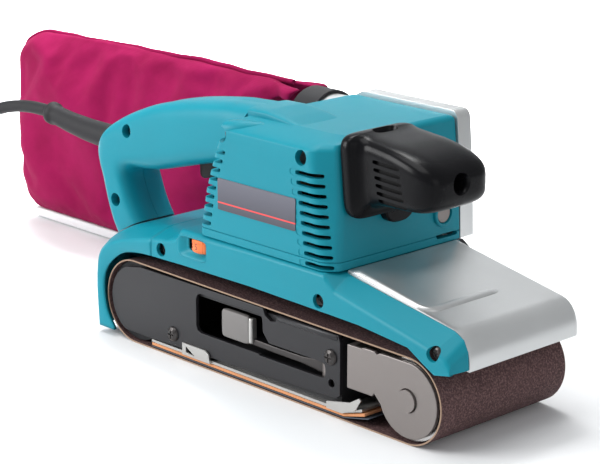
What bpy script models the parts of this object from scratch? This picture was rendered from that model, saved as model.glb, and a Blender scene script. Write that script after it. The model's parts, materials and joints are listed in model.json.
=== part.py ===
"""Handheld belt sander with dust bag, modelled piece by piece.

The builder functions take millimetres and make objects in metres.  X runs from the rear
(cord) to the nose, Y to the tool's left side, Z up.  The origin is the centre of the flat
underside of the abrasive belt.  The belt's open side, where it slides off, is at -Y.
"""
import math

import bmesh
import bpy
from mathutils import Matrix, Vector

MM = 0.001
GAP = 0.3                      # between pieces that touch on the real tool

# belt and rollers
BELT_T = 1.2
BELT_HALF_W = 50.0
REAR_X, REAR_R = -113.5, 26.0  # outside of the belt over the drive roller
NOSE_X, NOSE_R = 113.5, 24.5   # outside of the belt over the front roller
REAR = (REAR_X, REAR_R)
NOSE = (NOSE_X, NOSE_R)

# casings
SIDE_Y = -53.0                 # near side of the base
FAR_Y = 50.8                   # far side of the plastic casings
WALL = 2.6
DECK_Z = 81.4                  # joint between base and motor housing
TOP_Z = 153.0

# drive train, centres in X and Z
MOTOR = (5.0, 115.0)
GEAR_MODULE = 1.25
PINION_TEETH, GEAR_TEETH = 12, 36
GEAR_DISTANCE = GEAR_MODULE * (PINION_TEETH + GEAR_TEETH) / 2
GEAR_ANGLE = math.radians(-103.5)
LAYSHAFT = (MOTOR[0] + GEAR_DISTANCE * math.cos(GEAR_ANGLE),
            MOTOR[1] + GEAR_DISTANCE * math.sin(GEAR_ANGLE))
SMALL_PULLEY_R, LARGE_PULLEY_R = 9.0, 18.0
LOBE_R = 27.4                  # outside of the gear case round the reduction gear

# handle
HANDLE_Y0, HANDLE_Y1, SEAM_Y = -35.0, 0.0, -17.0
LEVER_PIVOT = (48.0, -43.0)

# front grip
GRIP_BOLT, GRIP_SEAT = (0, -13.5, 136.8), 84.0

# dust spout and bag
SPOUT_Y, SPOUT_Z, SPOUT_R = 82.0, 120.5, 19.5
BAG_Y = 82.0

# mains lead
CORD_R = 4.0
COIL = (-345.0, -110.0)
COIL_MEAN_R = 44.0
CORD_ROUTE = [(-237.5, -17, 118.2), (-262, -17.2, 118), (-292, -18, 112), (-318, -21, 98),
              (-338, -26, 78), (-355, -33, 55), (-370, -42, 33), (-384, -54, 15.5),
              (-396, -68, 6.5), (-404.2, -83, 4.2)]
GUARD_FROM, GUARD_TO = (-175.4, -17, 112.0), (-237.0, -17, 118.2)
PLUG_AT, PLUG_HEADING = (-380.0, -145.0, 24.6), math.radians(-20)

for old in list(bpy.data.objects):
    bpy.data.objects.remove(old, do_unlink=True)
PARTS = bpy.data.collections.new("belt_sander")
CUTTERS = bpy.data.collections.new("cutters")
bpy.context.scene.collection.children.link(PARTS)
bpy.context.scene.collection.children.link(CUTTERS)

FINISHES = {"teal": ((0.03, 0.34, 0.42), 0.45, 0.0), "silver": ((0.55, 0.56, 0.56), 0.4, 0.7),
            "black": ((0.02, 0.02, 0.022), 0.4, 0.0), "plate": ((0.06, 0.06, 0.065), 0.45, 0.6),
            "steel": ((0.5, 0.48, 0.46), 0.35, 1.0), "abrasive": ((0.13, 0.05, 0.05), 0.95, 0.0),
            "cork": ((0.68, 0.3, 0.16), 0.9, 0.0), "graphite": ((0.12, 0.13, 0.16), 0.6, 0.2),
            "rubber": ((0.03, 0.03, 0.03), 0.8, 0.0), "copper": ((0.6, 0.3, 0.15), 0.35, 1.0),
            "orange": ((0.9, 0.25, 0.06), 0.45, 0.0), "label": ((0.2, 0.2, 0.22), 0.4, 0.0),
            "cloth": ((0.38, 0.02, 0.12), 0.9, 0.0), "white": ((0.7, 0.7, 0.7), 0.45, 0.0)}


# ---------------------------------------------------------------- modelling helpers
def finish(name):
    """A Principled material from the table of finishes, made once."""
    if name in bpy.data.materials:
        return bpy.data.materials[name]
    colour, rough, metal = FINISHES[name]
    made = bpy.data.materials.new(name)
    made.use_nodes = True
    shader = made.node_tree.nodes["Principled BSDF"]
    shader.inputs["Base Color"].default_value = (*colour, 1)
    shader.inputs["Roughness"].default_value = rough
    shader.inputs["Metallic"].default_value = metal
    return made


def place(name, mesh, look=None, at=(0, 0, 0)):
    """Link a mesh as a part with its origin at a point, or as a cutter when it has no look."""
    obj = bpy.data.objects.new(name, mesh)
    origin = Vector(at) * MM
    mesh.transform(Matrix.Translation(-origin))
    obj.location = origin
    if look:
        mesh.materials.append(finish(look))
        PARTS.objects.link(obj)
    else:
        CUTTERS.objects.link(obj)
        obj.hide_render = True
        obj.display_type = "WIRE"
    return obj


def mesh_of(bm, name):
    mesh = bpy.data.meshes.new(name)
    bmesh.ops.recalc_face_normals(bm, faces=bm.faces)
    bm.to_mesh(mesh)
    bm.free()
    return mesh


def outline(points, steps=4):
    """Corner points (x, z) or (x, z, radius); a corner with a radius becomes an arc."""
    loop = []
    for i, corner in enumerate(points):
        here = Vector(corner[:2])
        if len(corner) == 2 or corner[2] == 0:
            loop.append(here)
            continue
        back = (Vector(points[i - 1][:2]) - here)
        ahead = (Vector(points[(i + 1) % len(points)][:2]) - here)
        half = back.angle(ahead) / 2
        reach = min(corner[2] / math.tan(half), back.length * 0.45, ahead.length * 0.45)
        radius = reach * math.tan(half)
        middle = here + (back.normalized() + ahead.normalized()).normalized() * (radius / math.sin(half))
        start = here + back.normalized() * reach - middle
        sweep = start.angle_signed(here + ahead.normalized() * reach - middle)
        for k in range(steps + 1):
            turn = Matrix.Rotation(-sweep * k / steps, 2)
            loop.append(middle + turn @ start)
    return loop


def arc(centre, radius, start, end, steps):
    """Points on a circle, angles in degrees from +X towards +Z."""
    return [(centre[0] + radius * math.cos(math.radians(start + (end - start) * k / steps)),
             centre[1] + radius * math.sin(math.radians(start + (end - start) * k / steps)))
            for k in range(steps + 1)]


def prism_mesh(name, loops, y0, y1):
    """Flat loops in the XZ plane, the first outside and the rest holes, extruded along Y."""
    curve = bpy.data.curves.new(name, "CURVE")
    curve.dimensions = "2D"
    curve.fill_mode = "BOTH"
    curve.extrude = abs(y1 - y0) / 2 * MM
    for loop in loops:
        spline = curve.splines.new("POLY")
        spline.points.add(len(loop) - 1)
        for point, (x, z) in zip(spline.points, loop):
            point.co = (x * MM, z * MM, 0, 1)
        spline.use_cyclic_u = True
    holder = bpy.data.objects.new(name, curve)
    CUTTERS.objects.link(holder)
    bpy.context.view_layer.update()
    mesh = bpy.data.meshes.new_from_object(holder.evaluated_get(bpy.context.evaluated_depsgraph_get()))
    bpy.data.objects.remove(holder, do_unlink=True)
    bm = bmesh.new()
    bm.from_mesh(mesh)
    bmesh.ops.remove_doubles(bm, verts=bm.verts, dist=1e-6)
    stand = Matrix.Translation((0, (y0 + y1) / 2 * MM, 0)) @ Matrix.Rotation(math.pi / 2, 4, "X")
    bmesh.ops.transform(bm, matrix=stand, verts=bm.verts)
    return mesh_of(bm, name)


def prism(name, loops, y0, y1, look=None, at=(0, 0, 0), edge=0.0, segments=2, sides=(0, 1)):
    """An extruded outline whose rims at y0 and y1 may be rounded over by edge."""
    mesh = prism_mesh(name, loops, y0, y1)
    if edge:
        bm = bmesh.new()
        bm.from_mesh(mesh)
        planes = [(y0, y1)[k] * MM for k in sides]
        rims = [e for e in bm.edges if any(all(abs(v.co.y - p) < 1e-6 for v in e.verts) for p in planes)
                and len(e.link_faces) == 2 and e.calc_face_angle(0) > 0.5]
        bmesh.ops.bevel(bm, geom=rims, offset=edge * MM, segments=segments, affect="EDGES",
                        profile=0.5, clamp_overlap=True)
        bmesh.ops.dissolve_degenerate(bm, dist=1e-6, edges=bm.edges)
        mesh = mesh_of(bm, name)
    return place(name, mesh, look, at)


def boxes(name, spans, look=None, at=(0, 0, 0)):
    """One mesh of boxes, each given by its low and high corner."""
    bm = bmesh.new()
    for low, high in spans:
        low, high = Vector(low) * MM, Vector(high) * MM
        made = bmesh.ops.create_cube(bm, size=1)
        size = Matrix.Diagonal((*(high - low), 1))
        bmesh.ops.transform(bm, matrix=Matrix.Translation((low + high) / 2) @ size, verts=made["verts"])
    return place(name, mesh_of(bm, name), look, at)


def hull(name, points, look=None, at=(0, 0, 0)):
    """The convex solid through a few points."""
    bm = bmesh.new()
    for point in points:
        bm.verts.new(Vector(point) * MM)
    bmesh.ops.convex_hull(bm, input=bm.verts)
    return place(name, mesh_of(bm, name), look, at)


AXES = {"X": Matrix.Rotation(math.pi / 2, 4, "Y"), "Y": Matrix.Rotation(-math.pi / 2, 4, "X"),
        "Z": Matrix.Identity(4)}


def turned(name, profile, centre, axis="Y", look=None, steps=32, ring=False):
    """A lathe part: (radius, height) down its outer side, screwed round the axis."""
    mesh = bpy.data.meshes.new(name)
    count = len(profile)
    edges = [(k, k + 1) for k in range(count - 1)] + ([(count - 1, 0)] if ring else [])
    mesh.from_pydata([(r * MM, 0, h * MM) for r, h in profile], edges, [])
    obj = place(name, mesh, look)
    obj.matrix_world = Matrix.Translation(Vector(centre) * MM) @ AXES[axis]
    screw = obj.modifiers.new("turn", "SCREW")
    screw.axis = "Z"
    screw.steps = screw.render_steps = steps
    screw.use_merge_vertices = True
    screw.merge_threshold = 0.00001
    screw.use_smooth_shade = True
    return obj


def rod(name, radius, h0, h1, centre, axis="Y", look=None, steps=24):
    """A plain round bar between two heights along the axis."""
    return turned(name, [(0, h1), (radius, h1), (radius, h0), (0, h0)], centre, axis, look, steps)


def sleeve(name, outer, inner, h0, h1, centre, axis="Y", look=None, steps=32):
    """A round bar with a bore."""
    profile = [(inner, h1), (outer, h1), (outer, h0), (inner, h0)]
    return turned(name, profile, centre, axis, look, steps, ring=True)


def boolean(obj, other, how="DIFFERENCE"):
    step = obj.modifiers.new(how.lower(), "BOOLEAN")
    step.operation = how
    step.solver = "EXACT"
    step.object = other
    return obj


def tube(name, points, radius, look, resolution=2):
    """A round bar along a list of points, with filled ends."""
    curve = bpy.data.curves.new(name, "CURVE")
    curve.dimensions = "3D"
    curve.bevel_depth = radius * MM
    curve.bevel_resolution = resolution
    curve.use_fill_caps = True
    spline = curve.splines.new("POLY")
    spline.points.add(len(points) - 1)
    for point, xyz in zip(spline.points, points):
        point.co = (*(Vector(xyz) * MM), 1)
    holder = bpy.data.objects.new(name, curve)
    CUTTERS.objects.link(holder)
    bpy.context.view_layer.update()
    mesh = bpy.data.meshes.new_from_object(holder.evaluated_get(bpy.context.evaluated_depsgraph_get()))
    bpy.data.objects.remove(holder, do_unlink=True)
    bm = bmesh.new()
    bm.from_mesh(mesh)
    bmesh.ops.remove_doubles(bm, verts=bm.verts, dist=1e-6)
    mesh = mesh_of(bm, name)
    return place(name, mesh, look)


def smooth_path(points, per_span):
    """A Catmull-Rom curve through the points."""
    points = [Vector(p) for p in points]
    ends = [2 * points[0] - points[1]] + points + [2 * points[-1] - points[-2]]
    path = []
    for a, b, c, d in zip(ends, ends[1:], ends[2:], ends[3:]):
        for k in range(per_span):
            t = k / per_span
            path.append(0.5 * (2 * b + (c - a) * t + (2 * a - 5 * b + 4 * c - d) * t * t
                               + (3 * b - a - 3 * c + d) * t ** 3))
    return path + [points[-1]]


def slice_off(obj, point, normal):
    """Cut an object's mesh by a plane and cap it; what the normal points at is removed."""
    bm = bmesh.new()
    bm.from_mesh(obj.data)
    local = Vector(point) * MM - obj.location
    cut = bmesh.ops.bisect_plane(bm, geom=bm.verts[:] + bm.edges[:] + bm.faces[:], dist=1e-7,
                                 plane_co=local, plane_no=normal, clear_outer=True)
    rim = [e for e in cut["geom_cut"] if isinstance(e, bmesh.types.BMEdge)]
    bmesh.ops.triangle_fill(bm, edges=rim, use_dissolve=False)
    bmesh.ops.remove_doubles(bm, verts=bm.verts, dist=1e-6)
    bmesh.ops.recalc_face_normals(bm, faces=bm.faces)
    bm.to_mesh(obj.data)
    bm.free()
    return obj


def belt_loop(inset, steps=14):
    """The belt's path: two arcs and their outer tangents, inset from its outside."""
    top = 90 - 2 * math.degrees(math.atan2(REAR_R - NOSE_R, NOSE_X - REAR_X))
    front = arc(NOSE, NOSE_R - inset, -90, top, steps)
    rear = arc(REAR, REAR_R - inset, top, 270, steps)
    return front + rear


# ---------------------------------------------------------------- belt, sole and side plate
def make_belt():
    prism("abrasive_belt", [belt_loop(0), belt_loop(BELT_T)], -BELT_HALF_W, BELT_HALF_W, "abrasive")


def make_sole():
    """Graphite cloth on cork under a spring steel plate that curls up behind the front roller."""
    layers = [("graphite_sheet", "graphite", 1.5, 2.1, 85.0), ("cork_pad", "cork", 2.4, 4.2, 82.0),
              ("sole_plate", "steel", 4.5, 6.1, 80.0)]
    for name, look, low, high, tip in layers:
        rise = 4.2
        prism(name, [[(-98, low), (66, low), (tip, low + rise), (tip, high + rise), (66, high),
                      (-98, high)]], -49.8, 49.8, look)
    plate = bpy.data.objects["sole_plate"]
    rear_hook = [(-68, 4.6), (-43.5, 4.6), (-44.5, 10), (-47.5, 11.8), (-68, 11.8)]
    front_hook = [(54, 4.6), (66, 4.6), (76, 8.6), (80.5, 15.6), (79, 16.6), (72, 12.4), (54, 8.6)]
    for k, loops in enumerate([[rear_hook, [(-64.8, 10.4), (-64.8, 6.6), (-57, 6.0)]], [front_hook]]):
        tab = prism(f"hook_{k}", loops, -51.4, -50.4)
        boolean(plate, tab, "UNION")
        x0 = loops[0][0][0] + 1
        boolean(plate, boxes(f"hook_root_{k}", [((x0, -51.2, 4.7), (x0 + 8, -49.0, 5.5))]), "UNION")


def make_side_plate():
    rear = arc(REAR, 21.8, 112, 243, 10)
    shape = rear + [(-99.8, 6.5), (60, 11.2), (63.0, 13.5), (63.0, 44), (61.6, 47.7), (13.5, 47.7),
                    (11.5, 43.6), (7.5, 42.7), (3.0, 45), (1.2, 49.0), (-107, 49.0)]
    window = outline([(-56.5, 21, 4), (-2, 21, 2), (-2, 20.2), (51.6, 20.2, 3), (51.6, 29.4, 3),
                      (6, 29.4, 2), (1.0, 35, 3), (0.5, 45, 3), (-56.5, 45, 4)], 2)
    holes = [arc((-77.5, 14.5), 2.6, 0, 330, 11), arc((56.0, 34.1), 2.6, 0, 330, 11),
             arc((56.4, 19.0), 2.4, 0, 330, 11)]
    prism("side_plate", [shape, window] + holes, -50.0, -47.6, "plate")
    for name, spot in (("side_screw_rear", (-77.5, 14.5)), ("side_screw_front", (56.0, 34.1))):
        head = [(0, 2.4), (2.6, 2.3), (4.2, 1.2), (4.6, 0.3), (2.3, 0.3), (2.3, -2.4), (0, -2.4)]
        screw = turned(name, head, (spot[0], -50.0, spot[1]), "Y", "steel", 16)
        screw.matrix_world = screw.matrix_world @ Matrix.Rotation(math.pi, 4, "X")
        for size in ((2.6, 0.45), (0.45, 2.6)):
            slot = boxes(f"{name}_slot", [((spot[0] - size[0], -53, spot[1] - size[1]),
                                           (spot[0] + size[0], -51.3, spot[1] + size[1]))])
            boolean(screw, slot)


# ---------------------------------------------------------------- frame and casings
def make_frame():
    """Die-cast frame: box inside the belt, wall on the far side and deck over the belt."""
    wall = outline([(-138, 8, 8), (60, 8, 6), (70, 30, 6), (70, 70, 3), (55, 80), (-92, 80, 6),
                    (-138, 52, 16)], 3)
    bores = [arc(REAR, 12.3, 0, 345, 23), arc((52, 28), 3.4, 0, 330, 11)]
    frame = prism("main_frame", [wall] + bores, 51.5, 56.0, "black")
    hollow = [(-80, 13.5), (-80, 42.5), (58, 42.5), (58, 13.5)]
    tunnel = [(-86, 6.1), (60, 6.1), (62, 9), (62, 46), (-86, 46)]
    boolean(frame, prism("frame_box", [tunnel, hollow], -47.2, 52.5), "UNION")
    boolean(frame, boxes("frame_deck", [((-80, -46, 60), (58, 52.5, 64))]), "UNION")
    boolean(frame, boxes("spring_wall", [((-22, -12, 12), (-18.4, 12, 44))]), "UNION")
    boolean(frame, rod("rod_hole", 4.5, -10, 10, (60, 0, 28), "X"))
    rim = prism("belt_rim", [cover_outline(0), cover_outline(2.5)], 55.0, 62.1)
    boolean(rim, boxes("rim_end", [((-31, 50, 0), (80, 70, 120))]))
    boolean(rim, boxes("rim_top", [((-70, 51, 81.2), (-30, 71, 121))]))
    boolean(frame, rim, "UNION")
    boolean(frame, rod("case_notch", LOBE_R + GAP, 50, 70, (LAYSHAFT[0], 0, LAYSHAFT[1])))


def base_profile(inset):
    """Upper outline of the base, lowered by inset, from the rear joint to the nose."""
    return [(-92.7, 75.6 - inset), (-80, 75.9 - inset), (-68, DECK_Z - inset), (52, DECK_Z - inset),
            (58, 80.3 - inset), (141 - inset / 4, 66.0 - inset), (146 - inset / 2, 61.5 - inset),
            (147.6 - inset, 52)]


def make_base():
    lower = [(146.5, 47.5), (135, 45.1), (116, 55.4), (97.7, 57.2), (80, 58.9), (-6.7, 60.8), (-92.7, 59.9)]
    base = prism("base_housing", [base_profile(0) + lower], SIDE_Y, FAR_Y, "teal")
    shoulder = [(56.5, SIDE_Y - 2, 73.8), (150, SIDE_Y - 2, 53.2), (56.5, -41, 82.5), (150, -41, 66.5),
                (56.5, SIDE_Y - 2, 95), (150, SIDE_Y - 2, 95), (56.5, -41, 95), (150, -41, 95)]
    boolean(base, hull("front_shoulder", shoulder))
    rear = [(-100, SIDE_Y - 2, 70.0), (-66.5, SIDE_Y - 2, 73.8), (-100, -34, 75.4), (-72, -34, 79.5),
            (-100, SIDE_Y - 2, 95), (-66.5, SIDE_Y - 2, 95), (-100, -34, 95), (-72, -34, 95)]
    boolean(base, hull("rear_shoulder", rear))
    seat = [(58, 76.9), (133, 63.4), (140.5, 57), (143.9, 50), (143.9, 40), (160, 40), (160, 100), (58, 100)]
    boolean(base, prism("cover_seat", [seat], -39.9, 60))
    boolean(base, boxes("cover_side_room", [((70.6, 47.8, 30), (152, 60, 101))]))
    inner = [(-68, 71.0), (-64, DECK_Z - WALL), (52, DECK_Z - WALL), (56, 71.0), (130, 55.4), (138, 52),
             (140.6, 48), (140.6, 35), (-100, 35), (-100, 68.4)]
    boolean(base, prism("base_hollow", [inner], SIDE_Y + WALL, 60))
    boolean(base, boxes("dial_window", [((-65, SIDE_Y - 1, 65), (-43.6, SIDE_Y + WALL + 0.5, 78.2))]))
    for k, (x, z, radius) in enumerate(((133.4, 56.7, 4.2), (-84.0, 65.6, 3.8), (49.0, 65.0, 3.8))):
        boolean(base, rod(f"base_well_{k}", radius, SIDE_Y - 2, SIDE_Y + 1.4, (x, 0, z)))


def make_rear_cover():
    arch = [(-127.4, 4.4), (-137.6, 15), (-140.4, 32), (-137, 42), (-128, 51), (-116.8, 57), (-96.8, 59.8),
            (-93.2, 59.9)]
    outer = [(-93.2, 75.5), (-128, 68.8), (-136, 65.2), (-143, 60.4, 3), (-147.2, 52, 6), (-148.6, 30),
             (-147.4, 4.9, 3), (-128, 3.5)]
    cover = prism("rear_cover", [outline(outer, 3) + arch], SIDE_Y, FAR_Y, "teal")
    inner = [(-88, 69.4), (-127, 60.2), (-135, 57.0), (-141, 52.5), (-144.6, 46), (-146, 30), (-145, -5),
             (-88, -5)]
    boolean(cover, prism("rear_hollow", [inner], SIDE_Y + WALL, 60))
    wedge = [(-152, SIDE_Y - 2, 55.0), (-90, SIDE_Y - 2, 70.2), (-152, -34, 64.8), (-90, -34, 76.2),
             (-152, SIDE_Y - 2, 95), (-90, SIDE_Y - 2, 95), (-152, -34, 95), (-90, -34, 95)]
    boolean(cover, hull("rear_cover_shoulder", wedge))


def make_front_cover():
    """Cast plate over the nose, bent down at the front and closed on the far side."""
    skin = outline([(58.4, 82.0), (141, 66.0, 12), (147.6, 56, 6), (147.4, 46.5), (144.4, 46.5),
                    (144.6, 55, 4), (139.6, 63.1, 9), (58.4, 79.0)], 4)
    cover = prism("front_cover", [skin], -39.6, 51.2, "silver", edge=1.0, sides=(0, 1))
    side = outline([(71, 79), (71, 56), (120, 50), (144.6, 46.6), (146.6, 56, 8), (140, 65, 8)], 3)
    boolean(cover, prism("cover_side", [side], 48.2, 51.0), "UNION")
    rib = [((58.4, -39.0, 76), (118, -33.5, 96)), ((111.5, -39.0, 60), (118, 17.0, 96))]
    band = prism("rib_skin", [[(58.4, 80.0), (141, 64.0), (141, 67.0), (58.4, 83.0)]], -39.0, 17.0)
    boolean(band, boxes("rib_plan", [rib[0]]), "INTERSECT")
    boolean(cover, band, "UNION")
    cross = prism("rib_cross", [[(111.5, 70.0), (118, 69.0), (118, 71.6), (111.5, 72.9)]], -36.0, 17.0)
    boolean(cover, cross, "UNION")


HOUSING = [(-50.6, 81.8), (-50.5, 87), (-49, 94), (-46, 109), (-42, 121), (-37, 134), (-29.5, 150.6),
           (-25, TOP_Z), (52, TOP_Z), (56, 115), (58, 81.8)]


def rear_edge(z):
    """X of the motor housing's rear wall at a height."""
    for (x0, z0), (x1, z1) in zip(HOUSING, HOUSING[1:]):
        if z0 <= z <= z1:
            return x0 + (x1 - x0) * (z - z0) / (z1 - z0)
    return HOUSING[0][0]


def make_motor_housing():
    housing = prism("motor_housing", [HOUSING], -52.0, FAR_Y, "teal")
    slice_off(housing, (41.0, -52, 148), Vector((12, -12.5, 1.9)).normalized())
    slice_off(housing, (0, -52, 147.8), Vector((0, -5.2, 16)).normalized())
    round_edges = housing.modifiers.new("edges", "BEVEL")
    round_edges.width = 2.0 * MM
    round_edges.segments = 2
    round_edges.limit_method = "ANGLE"
    round_edges.angle_limit = math.radians(35)
    inner = [(-47.2, 75), (-47.2, 87), (-45.8, 94), (-42.8, 109), (-39, 121), (-34, 134), (-27.5, 147.4),
             (-24, 149.8), (38, 149.8), (43, 115), (46, 75)]
    boolean(housing, prism("motor_hollow", [inner], -48.4, 60))
    front = [(34, 149.8), (49, 149.8), (53, 115), (55, 75), (34, 75)]
    boolean(housing, prism("motor_hollow_front", [front], -33, 60))
    slots = []
    for k in range(10):
        z = 86.4 + 5.4 * k
        slots.append(((29.5, -56, z), (45.0 - 0.06 * (z - 86), -45.6, z + 2.8)))
    for k in range(9):
        z = 90.3 + 5.4 * k
        slots.append(((rear_edge(z) - 6, -56, z), (rear_edge(z) + 8, -45.5, z + 2.8)))
    boolean(housing, boxes("vent_slots", slots))
    ridge = [(-28.6, 150.6), (-28.6, 157.0), (-14, 157.6), (2, 155.6), (16, TOP_Z - 1), (16, 151)]
    boolean(housing, prism("handle_root", [ridge], HANDLE_Y0 + 2, HANDLE_Y1 - 2, edge=3), "UNION")
    for k, (x, z) in enumerate(((-31.0, 143.6), (34.0, 142.0))):
        boolean(housing, rod(f"screw_well_{k}", 4.2, -58, -50.0, (x, 0, z)))


def lobe(radius, steps=10):
    """Round bulge under the motor that clears the reduction gear, down from the deck's height."""
    start = math.degrees(math.asin((DECK_Z + 0.4 - LAYSHAFT[1]) / radius))
    return arc(LAYSHAFT, radius, start, -180 - start, steps)


def make_gear_case():
    shape = [(-50.6, 81.8), (-46, 109), (-37, 134), (-29.5, 151, 6), (-22, 155, 6), (53, 155, 5),
             (56.6, 115), (57.6, 81.8)]
    holes = [arc(MOTOR, 12.3, 0, 345, 15), arc(LAYSHAFT, 4.6, 0, 330, 11)]
    case = prism("gear_case", [outline(shape) + lobe(LOBE_R)] + holes, FAR_Y + GAP, 62.0, "silver")
    inner = outline([(-42, 109), (-33, 132), (-26, 147, 6), (-20, 151, 4), (49, 151, 4), (53, 115),
                     (54.5, 85)])
    boolean(case, prism("gear_room", [inner + arc(LAYSHAFT, LOBE_R - 2.6, -2, -178, 10) + [(-46, 85)]],
                        54.2, 70))


def cover_outline(inset):
    """Outline of the belt cover: round the large pulley, along the belt and over the gear case."""
    rear = arc(REAR, 25.5 - inset, 118, 298, 14)
    under = arc(LAYSHAFT, LOBE_R - inset, -60, -10, 5)
    top = [(34 - inset, 84.4 + inset), (32 - inset, 100.4 - inset), (-46.5 + inset, 100.4 - inset),
           (-49 + inset, 84.4 - inset)]
    return rear + under + top


def make_belt_cover():
    cover = prism("belt_cover", [cover_outline(0)], 62.4, 78.0, "silver", edge=1.5, sides=(1,), segments=1)
    boolean(cover, prism("belt_room", [cover_outline(2.5)], 60, 75.6))


def make_spout():
    """Fan scroll and dust outlet, one casting."""
    swirl = arc((8, 120), 30.0, -35, 130, 12) + [(-34, 146), (-34, 101)]
    spout = prism("dust_spout", [swirl], 62.4, 79.0, "silver", edge=2.0, sides=(1,))
    boolean(spout, rod("spout_tube", SPOUT_R, -90, -20, (0, SPOUT_Y, SPOUT_Z), "X", steps=40), "UNION")
    boolean(spout, rod("spout_bore", SPOUT_R - 2.2, -95, -23, (0, SPOUT_Y, SPOUT_Z), "X", steps=40))
    boolean(spout, prism("scroll_room", [arc((8, 120), 26.5, -30, 125, 12) + [(-30, 142), (-30, 105)]],
                         60, 76.4))


# ---------------------------------------------------------------- motor and drive
def gear_loop(teeth, centre, turn=0.0):
    """Trapezoid teeth a little narrower than half the pitch, so a pair runs with play."""
    pitch_r = GEAR_MODULE * teeth / 2
    tip, root = pitch_r + 0.85 * GEAR_MODULE, pitch_r - 1.2 * GEAR_MODULE
    loop = []
    for k in range(teeth):
        middle = turn + 2 * math.pi * k / teeth
        for radius, share in ((root, -0.27), (tip, -0.11), (tip, 0.11), (root, 0.27)):
            angle = middle + share * 2 * math.pi / teeth
            loop.append((centre[0] + radius * math.cos(angle), centre[1] + radius * math.sin(angle)))
    return loop


def make_motor():
    x, z = MOTOR
    sleeve("stator_core", 33.5, 22.6, -25, 20, (x, 0, z), look="steel", steps=40)
    sleeve("armature_core", 21.8, 5.1, -25, 20, (x, 0, z), look="steel", steps=32)
    sleeve("commutator", 12.0, 5.1, -39, -28, (x, 0, z), look="copper", steps=24)
    blades = []
    for k in range(20):
        radius = 31.0 if k % 2 == 0 else 13.0
        angle = 2 * math.pi * (k + 0.35 * (k % 2)) / 20
        blades.append((x + radius * math.cos(angle), z + radius * math.sin(angle)))
    fan = prism("cooling_fan", [blades, arc(MOTOR, 5.1, 0, 337.5, 15)], 27, 42, "black", at=(x, 0, z))
    boolean(fan, sleeve("fan_disc", 31.4, 5.1, 25, 28, (x, 0, z)), "UNION")
    teeth = gear_loop(PINION_TEETH, MOTOR, GEAR_ANGLE + math.pi / PINION_TEETH)
    shaft = rod("motor_shaft", 4.7, -47.5, 56.0, (x, 0, z), look="steel")
    boolean(shaft, prism("pinion_teeth", [teeth], 55.0, 61.4), "UNION")
    sleeve("motor_bearing_near", 11, 5.1, -48.0, -41.5, (x, 0, z), look="steel", steps=24)
    sleeve("motor_bearing_far", 12, 5.1, 46.5, 53.9, (x, 0, z), look="steel", steps=24)
    for name, side in (("brush_front", 1), ("brush_rear", -1)):
        spans = sorted((x + side * 12.4, x + side * 27.0))
        boxes(name, [((spans[0], -36.5, z - 3), (spans[1], -30.5, z + 3))], "graphite")


def capsule(grow, steps=12):
    """Outline round both toothed pulleys."""
    dx, dz = LAYSHAFT[0] - REAR_X, LAYSHAFT[1] - REAR_R
    lean = math.degrees(math.atan2(dz, dx))
    tilt = math.degrees(math.acos((LARGE_PULLEY_R - SMALL_PULLEY_R) / math.hypot(dx, dz)))
    rear = arc(REAR, LARGE_PULLEY_R + grow, lean + tilt, lean + 360 - tilt, steps)
    front = arc(LAYSHAFT, SMALL_PULLEY_R + grow, lean - tilt, lean + tilt, steps)
    return rear + front


def make_drive():
    x, z = LAYSHAFT
    turn = GEAR_ANGLE + math.pi
    prism("reduction_gear", [gear_loop(GEAR_TEETH, LAYSHAFT, turn), arc(LAYSHAFT, 4.4, 0, 337.5, 15)],
          55.4, 61.0, "steel", at=(x, 0, z))
    rod("layshaft", 4.1, 50.6, 73.4, (x, 0, z), look="steel")
    pulley = [(4.4, 73.0), (11.6, 73.0), (11.6, 72.0), (SMALL_PULLEY_R, 72.0), (SMALL_PULLEY_R, 64.4),
              (11.6, 64.4), (11.6, 63.4), (4.4, 63.4)]
    turned("drive_pulley", pulley, (x, 0, z), "Y", "steel", 24, ring=True)
    roller = [(7.0, 48.6), (24.4, 48.6), (24.4, -46.8), (14.0, -46.8), (14.0, -41.6), (7.0, -41.6)]
    turned("drive_roller", roller, (REAR_X, 0, REAR_R), "Y", "rubber", 40, ring=True)
    rod("roller_shaft", 6.7, -46.6, 73.0, (REAR_X, 0, REAR_R), look="steel")
    sleeve("shaft_bush", 12.0, 7.0, -47.2, -42.2, (REAR_X, 0, REAR_R), look="copper", steps=24)
    sleeve("roller_bearing", 12.0, 7.0, 51.2, 57.0, (REAR_X, 0, REAR_R), look="steel", steps=24)
    sleeve("driven_pulley", LARGE_PULLEY_R, 7.0, 64.0, 72.4, (REAR_X, 0, REAR_R), look="steel", steps=32)
    prism("timing_belt", [capsule(2.2), capsule(0.5)], 64.8, 71.6, "rubber")


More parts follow.
